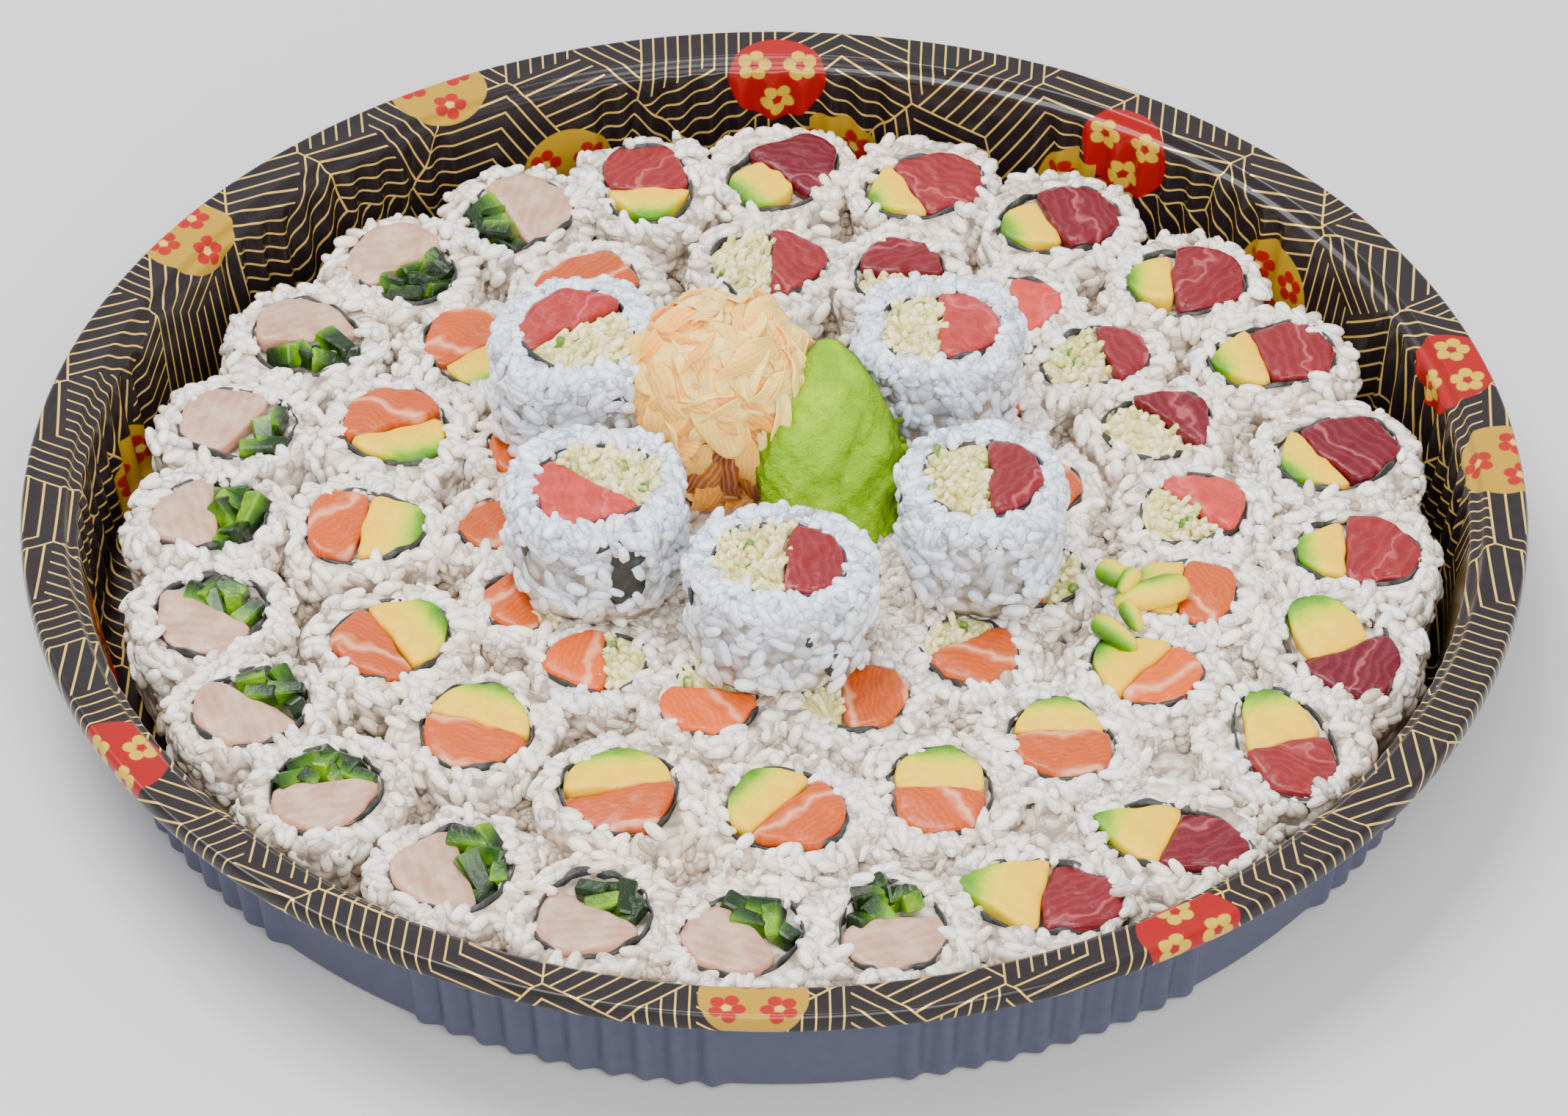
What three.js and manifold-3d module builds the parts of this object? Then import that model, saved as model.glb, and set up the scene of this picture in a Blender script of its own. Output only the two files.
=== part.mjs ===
// A round takeaway sushi tray, filled with inside-out rolls in three rings, five rolls
// stacked on top, a heap of pickled ginger and a leaf-shaped piece of green wasabi.
// Millimetres, +Z up. The origin is at the middle of the tray's underside.

import * as THREE from 'three';
import { mergeVertices } from 'three/addons/utils/BufferGeometryUtils.js';
import Module from 'manifold-3d';

const wasm = await Module();
wasm.setup();

// ---------------------------------------------------------------- driving dimensions

const rimRadius = 180;
const rimHeight = 40;
const sheet = 1.4;
const baseRadius = 162.6;
const wallTopRadius = 167.4;
const skirtDrop = 4.8;
const bandWidth = 8.6;
const seatDrop = 3.4;
const floorTop = 2;
const rimSteps = 80;

const ribGroups = 9;
const ribsPerGroup = 10;
const ribPitch = 2.7;
const ribHalfWidth = 0.95;
const ribHeight = 1.8;
const firstFlat = -87;

const gap = 0.3;
const rollHeight = 26;
const raisedHeight = 28;
const rollSides = 14;
const widestHalfRoll = 18.6;
const sideClearance = 0.5;

const lowerTop = floorTop + rollHeight;
const raisedBase = lowerTop + gap;

const gingerHeight = 69;
const wasabiLength = 68;
const wasabiLean = 52;

const degree = Math.PI / 180;

// ---------------------------------------------------------------- colours

const looks = {
  tray: { color: 0x2a2328, roughness: 0.25, metalness: 0 },
  rice: { color: 0xe6e2da, roughness: 0.55, metalness: 0 },
  ginger: { color: 0xf0c88c, roughness: 0.45, metalness: 0 },
  wasabi: { color: 0x9cc43e, roughness: 0.7, metalness: 0 },
};

// ---------------------------------------------------------------- building a closed skin

// A ring is a list of points that runs once round +Z, each with its share of the turn.
function makeRing(turns, place) {
  return turns.map((turn) => ({ turn, point: place(turn) }));
}

function evenTurns(count) {
  return Array.from({ length: count }, (unused, index) => index / count);
}

// Joins rings from the first to the last into one closed skin that faces outwards when
// the rings run out along the underside, up the outside and back in along the top. The
// rings may have different numbers of points, and the first and last are single points.
function skinRings(rings) {
  const positions = [];
  const triangles = [];
  const numbered = rings.map((ring) => ring.map(({ turn, point }) => {
    positions.push(point.x, point.y, point.z);
    return { turn, index: positions.length / 3 - 1 };
  }));

  const turnAt = (ring, step) => ring[step % ring.length].turn + Math.floor(step / ring.length);
  const indexAt = (ring, step) => ring[step % ring.length].index;

  for (let level = 0; level + 1 < numbered.length; level += 1) {
    const lower = numbered[level];
    const upper = numbered[level + 1];
    const lowerSteps = lower.length > 1 ? lower.length : 0;
    const upperSteps = upper.length > 1 ? upper.length : 0;
    let i = 0;
    let j = 0;
    while (i < lowerSteps || j < upperSteps) {
      const nextLower = i < lowerSteps ? turnAt(lower, i + 1) : Infinity;
      const nextUpper = j < upperSteps ? turnAt(upper, j + 1) : Infinity;
      if (nextLower <= nextUpper) {
        triangles.push(indexAt(lower, i), indexAt(lower, i + 1), indexAt(upper, j));
        i += 1;
      } else {
        triangles.push(indexAt(lower, i), indexAt(upper, j + 1), indexAt(upper, j));
        j += 1;
      }
    }
  }

  const geometry = new THREE.BufferGeometry();
  geometry.setAttribute('position', new THREE.Float32BufferAttribute(positions, 3));
  geometry.setIndex(triangles);
  geometry.computeVertexNormals();
  return geometry;
}

function makeNode(name, look, geometry) {
  const mesh = new THREE.Mesh(geometry, new THREE.MeshStandardMaterial(looks[look]));
  mesh.name = name;
  return mesh;
}

// ---------------------------------------------------------------- tray

// One thin formed sheet: a flat floor, a wall pressed into groups of upright ribs, a
// seat for the lid, a flat band and a rolled lip with a short skirt.
function trayGeometry() {
  const groupAngle = 360 / ribGroups;
  const fineTurns = [];
  const ribHeights = new Map();
  for (let group = 0; group < ribGroups; group += 1) {
    fineTurns.push(group / ribGroups);
    for (let rib = 0; rib < ribsPerGroup; rib += 1) {
      const middle = groupAngle / 2 + (rib - (ribsPerGroup - 1) / 2) * ribPitch;
      for (const side of [-1, 0, 1]) {
        const turn = (group * groupAngle + middle + side * ribHalfWidth) / 360;
        fineTurns.push(turn);
        ribHeights.set(turn, side === 0 ? ribHeight : 0);
      }
    }
  }

  const at = (turn, radius, height) => {
    const angle = firstFlat * degree + turn * 2 * Math.PI;
    return new THREE.Vector3(radius * Math.cos(angle), radius * Math.sin(angle), height);
  };
  const pole = (height) => makeRing([0], () => new THREE.Vector3(0, 0, height));
  const smooth = (radius, height) =>
    makeRing(evenTurns(rimSteps), (turn) => at(turn, radius, height));
  const ribbed = (radius, height) =>
    makeRing(fineTurns, (turn) => at(turn, radius + (ribHeights.get(turn) ?? 0), height));

  const skirtHeight = rimHeight - skirtDrop;
  const bandOuter = rimRadius - sheet;
  const bandInner = bandOuter - bandWidth;
  const bandHeight = rimHeight - 0.6;
  const seatHeight = rimHeight - seatDrop;
  const seatInner = bandInner - 2 * sheet - 0.6;
  const wallInnerTop = wallTopRadius - sheet;
  const wallInnerBase = baseRadius - sheet;

  return skinRings([
    pole(0),
    smooth(baseRadius - 1.4, 0),
    ribbed(baseRadius, 1.6),
    ribbed(wallTopRadius, rimHeight - 6),
    smooth(bandInner + 0.6, skirtHeight),
    smooth(bandInner + sheet, bandHeight - sheet),
    smooth(bandOuter - 0.4, rimHeight - sheet),
    smooth(rimRadius - sheet, skirtHeight),
    smooth(rimRadius, skirtHeight),
    smooth(rimRadius, rimHeight - sheet),
    smooth(bandOuter, rimHeight),
    smooth(bandInner, bandHeight),
    smooth(bandInner - sheet, seatHeight + 0.8),
    smooth(seatInner, seatHeight),
    smooth(wallInnerTop, seatHeight - sheet),
    ribbed(wallInnerBase, floorTop + sheet),
    smooth(wallInnerBase - 2.5, floorTop),
    pole(floorTop),
  ]);
}

// ---------------------------------------------------------------- rolls

// A closed outline between a circle and a square, made uneven by two slow waves, so
// that it stays inside the unit square. Each seed gives another outline.
function unevenOutline(seed) {
  const squareness = 2.8;
  return evenTurns(rollSides).map((turn) => {
    const angle = (turn + 0.5 / rollSides) * 2 * Math.PI;
    const waves = 0.5 + 0.3 * Math.sin(3 * angle + seed) + 0.2 * Math.sin(5 * angle - 2.3 * seed);
    const reach = 1 - 0.06 * waves;
    const across = Math.cos(angle);
    const along = Math.sin(angle);
    return {
      turn,
      u: reach * Math.sign(across) * Math.abs(across) ** (2 / squareness),
      v: reach * Math.sign(along) * Math.abs(along) ** (2 / squareness),
    };
  });
}

// A short drum of rice: sides that bulge a little towards the shoulder, a rounded top
// edge and a top that is a touch higher in the middle.
function rollGeometry(outline, place, base, height) {
  const level = (scale, z) => outline.map(({ turn, u, v }) => {
    const spot = place(u * scale, v * scale);
    return { turn, point: new THREE.Vector3(spot.x, spot.y, z) };
  });
  const middle = (z) => {
    const spot = place(0, 0);
    return [{ turn: 0, point: new THREE.Vector3(spot.x, spot.y, z) }];
  };
  return skinRings([
    middle(base),
    level(0.93, base),
    level(1, base + 0.8 * height),
    level(0.9, base + height - 0.8),
    middle(base + height),
  ]);
}

// The rolls of one ring stand side by side. Each fills the wedge between the half-way
// lines to its neighbours, and is never wider than a roll is.
function ringRolls({ name, centre, radius, halfDepth, bearings }) {
  const count = bearings.length;
  const widest = (widestHalfRoll / radius) / degree;
  const clearance = (sideClearance / radius) / degree;
  const apart = (from, to) => (((from - to) % 360) + 360) % 360;

  return bearings.map((bearing, index) => {
    const before = apart(bearings[(index + count - 1) % count], bearing);
    const after = apart(bearing, bearings[(index + 1) % count]);
    const reachBefore = Math.min(before / 2 - clearance, widest);
    const reachAfter = Math.min(after / 2 - clearance, widest);
    const place = (u, v) => {
      const angle = (bearing + (u > 0 ? u * reachBefore : u * reachAfter)) * degree;
      const distance = radius - v * halfDepth;
      return new THREE.Vector2(
        centre[0] + distance * Math.cos(angle),
        centre[1] + distance * Math.sin(angle),
      );
    };
    const outline = unevenOutline(index * 1.7 + radius);
    const geometry = rollGeometry(outline, place, floorTop + gap, rollHeight - gap);
    return makeNode(`${name}_${String(index + 1).padStart(2, '0')}`, 'rice', geometry);
  });
}

// Bearings are where the rolls were set down by hand, in degrees from +X, clockwise.
const rings = [
  {
    name: 'outer_roll',
    centre: [1.5, -2.5],
    radius: 138,
    halfDepth: 19,
    bearings: [
      104, 90, 75, 60, 43, 29, 12, -3, -17, -32, -50, -65,
      -80, -93, -108, -122, -140, -153, -168, 177, 164, 148, 133, 118,
    ],
  },
  {
    name: 'middle_roll',
    centre: [1, 0],
    radius: 99.5,
    halfDepth: 18.4,
    bearings: [
      118, 91, 72, 55, 39, 22, 3, -14, -30, -49, -68, -89,
      -111, -135, -156, 180, 159, 138,
    ],
  },
  {
    name: 'inner_roll',
    centre: [0, 0],
    radius: 63.5,
    halfDepth: 16,
    bearings: [40, 12, -16, -44, -73, -104, -131, -155, 180, 155],
  },
];

const raisedRolls = [
  { x: -47.5, y: 38.4, halfWidth: 19.2, halfDepth: 19.4 },
  { x: -42.2, y: -17.2, halfWidth: 19.4, halfDepth: 20 },
  { x: 1.2, y: -44.2, halfWidth: 20.4, halfDepth: 18 },
  { x: 49.2, y: -15.8, halfWidth: 17.8, halfDepth: 20 },
  { x: 39.9, y: 41.2, halfWidth: 18.6, halfDepth: 18.8 },
];

function raisedNodes() {
  return raisedRolls.map(({ x, y, halfWidth, halfDepth }, index) => {
    const place = (u, v) => new THREE.Vector2(x + u * halfWidth, y + v * halfDepth);
    const outline = unevenOutline(index * 2.1 + 0.4);
    const geometry = rollGeometry(outline, place, raisedBase, raisedHeight);
    return makeNode(`raised_roll_${index + 1}`, 'rice', geometry);
  });
}

// ---------------------------------------------------------------- wasabi

// The wasabi leans back on the ginger. Its flat back lies in this plane.
const wasabiFoot = new THREE.Vector3(13, -6, floorTop + gap);
const upSlope = new THREE.Vector3(0, Math.cos(wasabiLean * degree), Math.sin(wasabiLean * degree));
const awayFromBack = new THREE.Vector3(0, -upSlope.z, upSlope.y);

// A leaf shape: narrow at the foot, widest at six tenths of its length, rounded to a
// blunt tip. Each level is a D-shaped section with its flat side on the back plane.
// Growing it by a margin gives the room that its neighbour has to leave.
function wasabiGeometry(grow = 0) {
  const sides = 14;
  const levels = [
    { share: 0.02, halfWidth: 9, thickness: 9, shift: 9 },
    { share: 0.16, halfWidth: 12.5, thickness: 14, shift: 5 },
    { share: 0.36, halfWidth: 15.6, thickness: 16.5, shift: 0.5 },
    { share: 0.56, halfWidth: 17.4, thickness: 17, shift: 0.2 },
    { share: 0.72, halfWidth: 14.6, thickness: 15, shift: 0.6 },
    { share: 0.86, halfWidth: 9.2, thickness: 12, shift: 1.4 },
    { share: 0.96, halfWidth: 5, thickness: 7, shift: 0.6 },
  ];
  const onSlope = (share, across, out) => {
    const point = wasabiFoot.clone()
      .addScaledVector(upSlope, share * wasabiLength)
      .addScaledVector(awayFromBack, out)
      .add(new THREE.Vector3(across, 0, 0));
    point.z = Math.max(point.z, wasabiFoot.z - grow);
    return point;
  };
  const section = ({ share, halfWidth, thickness, shift }) => makeRing(evenTurns(sides), (turn) => {
    const angle = turn * 2 * Math.PI;
    const lump = 1 + 0.05 * Math.sin(4 * angle + 9 * share);
    const out = thickness * (0.5 + 0.5 * Math.cos(angle) * lump) + grow * Math.cos(angle);
    return onSlope(share, shift + (halfWidth * lump + grow) * Math.sin(angle), out);
  });
  const tip = ({ thickness, shift }, share) =>
    makeRing([0], () => onSlope(share, shift, thickness / 2));
  const overrun = grow / wasabiLength;

  return skinRings([
    tip(levels[0], -overrun),
    ...levels.map(section),
    tip(levels[levels.length - 1], 1 + overrun),
  ]);
}

// ---------------------------------------------------------------- ginger

// A loose ball of thin folded slices that spreads out on the floor behind. It gives way
// to the raised roll beside it.
function gingerBall() {
  const middle = new THREE.Vector2(-13, 30);
  const sides = 22;
  const levels = [
    { z: floorTop + gap, radius: 17, spread: 24 },
    { z: 12, radius: 20, spread: 22 },
    { z: 24, radius: 21, spread: 16 },
    { z: 34, radius: 22.4, spread: 7 },
    { z: 44, radius: 23.4, spread: 2 },
    { z: 53, radius: 22, spread: 0 },
    { z: 61, radius: 16.5, spread: 0 },
    { z: 66, radius: 9.5, spread: 0 },
  ];
  const neighbour = raisedRolls[0];
  const toNeighbour = Math.atan2(neighbour.y - middle.y, neighbour.x - middle.x);
  const turnedFrom = (angle, other) => Math.atan2(Math.sin(angle - other), Math.cos(angle - other));

  const wall = ({ z, radius, spread }) => makeRing(evenTurns(sides), (turn) => {
    const angle = turn * 2 * Math.PI;
    const folds = 1 + 0.045 * Math.sin(5 * angle + z / 8) + 0.03 * Math.sin(8 * angle - z / 5);
    const dent = 9.5 * Math.exp(-((turnedFrom(angle, toNeighbour) / (28 * degree)) ** 2));
    const behind = spread * Math.max(0, Math.sin(angle)) ** 3;
    const reach = radius * folds + behind - Math.min(1, (70 - z) / 12) * dent;
    return new THREE.Vector3(
      middle.x + reach * Math.cos(angle),
      middle.y + reach * Math.sin(angle),
      z,
    );
  });
  const tip = (z) => makeRing([0], () => new THREE.Vector3(middle.x, middle.y, z));

  return skinRings([tip(levels[0].z), ...levels.map(wall), tip(gingerHeight)]);
}

function toSolid(geometry) {
  const bare = geometry.clone();
  bare.deleteAttribute('normal');
  const merged = mergeVertices(bare);
  return new wasm.Manifold(new wasm.Mesh({
    numProp: 3,
    vertProperties: merged.attributes.position.array,
    triVerts: new Uint32Array(merged.index.array),
  }));
}

// The ginger ball with the hollow that the wasabi has pressed into it.
function gingerGeometry() {
  const pressed = toSolid(gingerBall()).subtract(toSolid(wasabiGeometry(gap)));
  const { vertProperties, triVerts } = pressed.getMesh();
  const geometry = new THREE.BufferGeometry();
  geometry.setAttribute('position', new THREE.BufferAttribute(vertProperties, 3));
  geometry.setIndex(new THREE.BufferAttribute(triVerts, 1));
  geometry.computeVertexNormals();
  return geometry;
}

// ---------------------------------------------------------------- the filled tray

const filledTray = new THREE.Group();
filledTray.add(makeNode('tray', 'tray', trayGeometry()));
filledTray.add(...rings.flatMap(ringRolls));
filledTray.add(...raisedNodes());
filledTray.add(makeNode('ginger', 'ginger', gingerGeometry()));
filledTray.add(makeNode('wasabi', 'wasabi', wasabiGeometry()));

export default filledTray;
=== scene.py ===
"""A takeaway sushi tray: the printed plastic tray, its rolls, the ginger and the wasabi.

Every size is in metres. Each surface is a function of two parameters on a grid, worked
out as whole arrays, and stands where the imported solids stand.
"""

import math
from collections import namedtuple

import bpy
import numpy as np
from mathutils import Matrix, Vector


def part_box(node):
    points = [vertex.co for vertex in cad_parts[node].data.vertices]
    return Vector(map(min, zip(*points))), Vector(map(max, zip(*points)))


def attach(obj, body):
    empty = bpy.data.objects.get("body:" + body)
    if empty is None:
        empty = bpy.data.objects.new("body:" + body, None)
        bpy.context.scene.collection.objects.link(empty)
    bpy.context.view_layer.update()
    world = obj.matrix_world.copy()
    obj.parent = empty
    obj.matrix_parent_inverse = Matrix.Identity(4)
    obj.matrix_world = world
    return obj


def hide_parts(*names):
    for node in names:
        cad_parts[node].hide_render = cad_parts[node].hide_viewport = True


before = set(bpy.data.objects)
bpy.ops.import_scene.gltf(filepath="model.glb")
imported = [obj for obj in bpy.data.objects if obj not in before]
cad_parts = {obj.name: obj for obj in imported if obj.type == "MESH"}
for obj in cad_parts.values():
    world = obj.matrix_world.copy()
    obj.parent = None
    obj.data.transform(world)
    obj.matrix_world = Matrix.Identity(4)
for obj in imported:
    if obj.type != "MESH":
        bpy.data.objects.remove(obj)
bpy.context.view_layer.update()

bl_info = {
    "name": "Takeaway sushi tray",
    "version": (1, 0, 0),
    "blender": (4, 5, 0),
    "location": "3D View > Sidebar > Sushi tray",
    "description": "Builds the looks of a filled sushi tray around its packed solids",
    "category": "Add Mesh",
}

MM = 0.001
FULL_TURN = 2 * math.pi
BEARINGS = np.linspace(0, FULL_TURN, 72, endpoint=False)


# ---------------------------------------------------------------- colours and nodes


def colour(red, green, blue):
    """A linear colour with full alpha from screen values between 0 and 255."""
    screen = np.array([red, green, blue]) / 255
    linear = np.where(screen <= 0.04045, screen / 12.92, ((screen + 0.055) / 1.055) ** 2.4)
    return (*linear.tolist(), 1.0)


def fill(tree, node, sockets):
    """Gives a node's inputs their values or their links."""
    for socket, value in sockets.items():
        if isinstance(value, bpy.types.NodeSocket):
            tree.links.new(value, node.inputs[socket])
        else:
            node.inputs[socket].default_value = value


def add(tree, kind, sockets=None, **settings):
    """Adds a node, makes its settings, and fills its inputs."""
    node = tree.nodes.new(kind)
    for setting, value in settings.items():
        setattr(node, setting, value)
    fill(tree, node, sockets or {})
    return node


def arithmetic(tree, operation, first, second=0.0, third=0.0):
    """The result of one Math node."""
    sockets = {0: first, 1: second, 2: third}
    return add(tree, "ShaderNodeMath", sockets, operation=operation).outputs[0]


def times(tree, first, second):
    """Two values multiplied."""
    return arithmetic(tree, "MULTIPLY", first, second)


def times_plus(tree, first, second, third):
    """Two values multiplied, and a third one added."""
    return arithmetic(tree, "MULTIPLY_ADD", first, second, third)


def vector(tree, operation, first, second=(0.0, 0.0, 0.0)):
    """The result of one Vector Math node: a number for a dot product or a length."""
    node = add(tree, "ShaderNodeVectorMath", {0: first, 1: second}, operation=operation)
    return node.outputs[1 if operation in ("DOT_PRODUCT", "LENGTH") else 0]


def mix(tree, share, first, second, blend_type="MIX"):
    """A colour between two others."""
    sockets = {0: share, 6: first, 7: second}
    return add(tree, "ShaderNodeMix", sockets, data_type="RGBA", blend_type=blend_type).outputs[2]


def ramp(tree, value, *stops):
    """A colour ramp, given as pairs of a place and a colour."""
    node = add(tree, "ShaderNodeValToRGB", {0: value})
    elements = node.color_ramp.elements
    while len(elements) < len(stops):
        elements.new(1.0)
    for element, (place, shade) in zip(elements, stops):
        element.position = place
        element.color = shade
    return node.outputs[0]


def steps(tree, value, start, end):
    """A number that goes from 0 to 1 smoothly as the value goes from start to end."""
    sockets = {0: value, 1: start, 2: end}
    return add(tree, "ShaderNodeMapRange", sockets, interpolation_type="SMOOTHSTEP").outputs[0]


def noise(tree, place, scale, detail=3.0, roughness=0.5):
    """A noise value from 0 to 1. The scale is in waves for each metre."""
    sockets = {"Vector": place, "Scale": scale, "Detail": detail, "Roughness": roughness}
    return add(tree, "ShaderNodeTexNoise", sockets).outputs[0]


def object_place(tree):
    """Where a point is, in the object's own coordinates."""
    return add(tree, "ShaderNodeTexCoord").outputs["Object"]


def own_map(tree, name):
    """Where a point is on one of the piece's flat maps."""
    return add(tree, "ShaderNodeUVMap", uv_map=name).outputs[0]


def own_value(tree, name):
    """One of the piece's attributes."""
    return add(tree, "ShaderNodeAttribute", attribute_name=name).outputs["Fac"]


def new_group(name, inputs, outputs):
    """An empty shader node group with named sockets: a vector called Place, and numbers."""
    group = bpy.data.node_groups.new(name, "ShaderNodeTree")
    group.interface.new_socket("Place", in_out="INPUT", socket_type="NodeSocketVector")
    for side, labels in (("INPUT", inputs), ("OUTPUT", outputs)):
        for label in labels:
            group.interface.new_socket(label, in_out=side, socket_type="NodeSocketFloat")
    return group, add(group, "NodeGroupInput").outputs, add(group, "NodeGroupOutput")


def group_outputs(tree, group_name, **values):
    """The outputs of a node group that gets these values. Spaces in names are underscores."""
    sockets = {label.replace("_", " "): value for label, value in values.items()}
    group = bpy.data.node_groups[group_name]
    return add(tree, "ShaderNodeGroup", sockets, node_tree=group).outputs


def new_material(name, glow=None, coat=None, **fixed):
    """A material with one Principled shader, and its node tree.

    A glow gives how much light goes in, how deep, and the share of each colour. A coat
    gives its weight and its roughness. Fixed values go straight onto the sockets."""
    material = bpy.data.materials.new(name)
    material.use_nodes = True
    tree = material.node_tree
    if glow:
        fixed.update(zip(("Subsurface_Weight", "Subsurface_Scale", "Subsurface_Radius"), glow))
    if coat:
        fixed.update(zip(("Coat_Weight", "Coat_Roughness"), coat))
    sockets = {label.replace("_", " "): value for label, value in fixed.items()}
    fill(tree, tree.nodes["Principled BSDF"], sockets)
    return material, tree


def fine_relief(tree, place, lump_scale, grain_scale, grain_share):
    """The height of the shared relief of lumps and grain."""
    return group_outputs(tree, "fine relief", Place=place, Lump_Scale=lump_scale,
                         Grain_Scale=grain_scale, Grain_Share=grain_share)["Height"]


def fibre_lines(tree, place, lines, waviness, thinness):
    """The thin lines and the wave of the shared fibres, with this many lines a metre."""
    return group_outputs(tree, "fibre lines", Place=place, Lines=lines, Waviness=waviness,
                         Thinness=thinness)


def finish_skin(material, shade, roughness, relief, distance, strength):
    """Joins a colour, a roughness and a height to the material's shader. The distance is
    how many metres one unit of height stands for."""
    tree = material.node_tree
    sockets = {"Height": relief, "Distance": distance, "Strength": strength}
    normal = add(tree, "ShaderNodeBump", sockets).outputs[0]
    joined = {"Base Color": shade, "Roughness": roughness, "Normal": normal}
    fill(tree, tree.nodes["Principled BSDF"], joined)
    return material


# ---------------------------------------------------------------- shared effects

SOFT_EDGE = 0.08 * MM

def make_fine_relief():
    """Small lumps and finer grain added together, for the skin of soft food."""
    inputs = ("Lump Scale", "Grain Scale", "Grain Share")
    group, given, out = new_group("fine relief", inputs, ("Height",))
    lumps = noise(group, given["Place"], given["Lump Scale"], 2.0)
    grain = noise(group, given["Place"], given["Grain Scale"], 3.0, 0.6)
    total = times_plus(group, grain, given["Grain Share"], lumps)
    group.links.new(total, out.inputs["Height"])


def make_fibres():
    """Wavy lines across the map: thin pale ones where the wave is near its crest."""
    inputs = ("Lines", "Waviness", "Thinness")
    group, given, out = new_group("fibre lines", inputs, ("Line", "Wave"))
    wander = noise(group, given["Place"], 110.0, 2.0)
    aside = times(group, wander, given["Waviness"])
    across = add(group, "ShaderNodeSeparateXYZ", {0: given["Place"]}).outputs[0]
    turns = times_plus(group, across, given["Lines"], aside)
    swing = arithmetic(group, "SINE", times(group, turns, FULL_TURN))
    wave = times_plus(group, swing, 0.5, 0.5)
    group.links.new(wave, out.inputs["Wave"])
    group.links.new(arithmetic(group, "POWER", wave, given["Thinness"]), out.inputs["Line"])


def make_gold_lattice():
    """Lines in a tiling of hexagons, each cut into three rhombuses filled with stripes.

    The nearest hexagon centre comes from two offset grids. Three directions 60 degrees
    apart give the distances to the rhombus edges, and a random choice for each rhombus
    says which of its two pairs of edges the stripes follow.
    """
    group, given, out = new_group("gold lattice", ("Edge", "Stripes", "Line Width"), ("Line",))
    width = times(group, given["Edge"], math.sqrt(3))
    unit = add(group, "ShaderNodeCombineXYZ", {0: width, 1: width, 2: width}).outputs[0]
    flat = vector(group, "DIVIDE", given["Place"], unit)
    grid = (1.0, math.sqrt(3), 1.0)

    def nearest_in_grid(offset):
        moved = vector(group, "ADD", vector(group, "DIVIDE", flat, grid), (offset, offset, 0.0))
        cell = vector(group, "FLOOR", moved)
        inside = vector(group, "SUBTRACT", vector(group, "FRACTION", moved), (0.5, 0.5, 0.5))
        spot = vector(group, "MULTIPLY", inside, (1.0, math.sqrt(3), 0.0))
        number = vector(group, "ADD", cell, (0.0, 0.0, 7.0 + 10.0 * offset))
        return spot, number

    first_spot, first_number = nearest_in_grid(0.0)
    second_spot, second_number = nearest_in_grid(0.5)
    pick = arithmetic(group, "LESS_THAN", vector(group, "LENGTH", second_spot),
                      vector(group, "LENGTH", first_spot))
    spot, number = (
        add(group, "ShaderNodeMix", {0: pick, 4: first, 5: second}, data_type="VECTOR").outputs[1]
        for first, second in ((first_spot, second_spot), (first_number, second_number)))

    def distance_along(degrees):
        turn = math.radians(degrees)
        return vector(group, "DOT_PRODUCT", spot, (math.cos(turn), math.sin(turn), 0.0))

    a, b, c = distance_along(60), distance_along(120), distance_along(180)
    minus = [times(group, value, -1.0) for value in (a, b, c)]
    rhombuses = [(a, b), (c, minus[0]), (minus[1], minus[2])]
    lines = 0.0
    for index, (one, other) in enumerate(rhombuses):
        inside = arithmetic(group, "GREATER_THAN", arithmetic(group, "MINIMUM", one, other), 0.0)
        seed = vector(group, "ADD", number, (0.0, 0.0, 31.0 * index))
        chance = add(group, "ShaderNodeTexWhiteNoise", {"Vector": seed}).outputs["Value"]
        swap = arithmetic(group, "GREATER_THAN", chance, 0.5)
        onward = add(group, "ShaderNodeMix", {0: swap, 2: one, 3: other}).outputs[0]
        across = add(group, "ShaderNodeMix", {0: swap, 2: other, 3: one}).outputs[0]
        per_unit = times(group, given["Stripes"], 2.0)
        stripe = arithmetic(group, "PINGPONG", times(group, onward, per_unit), 0.5)
        stripe = arithmetic(group, "DIVIDE", stripe, per_unit)
        nearest = arithmetic(group, "MINIMUM", stripe, across)
        metres = times(group, nearest, width)
        half = times(group, given["Line Width"], 0.5)
        edge = arithmetic(group, "SUBTRACT", half, metres)
        drawn = steps(group, edge, -SOFT_EDGE, SOFT_EDGE)
        lines = times_plus(group, drawn, inside, lines)
    group.links.new(arithmetic(group, "MINIMUM", lines, 1.0), out.inputs["Line"])


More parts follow.
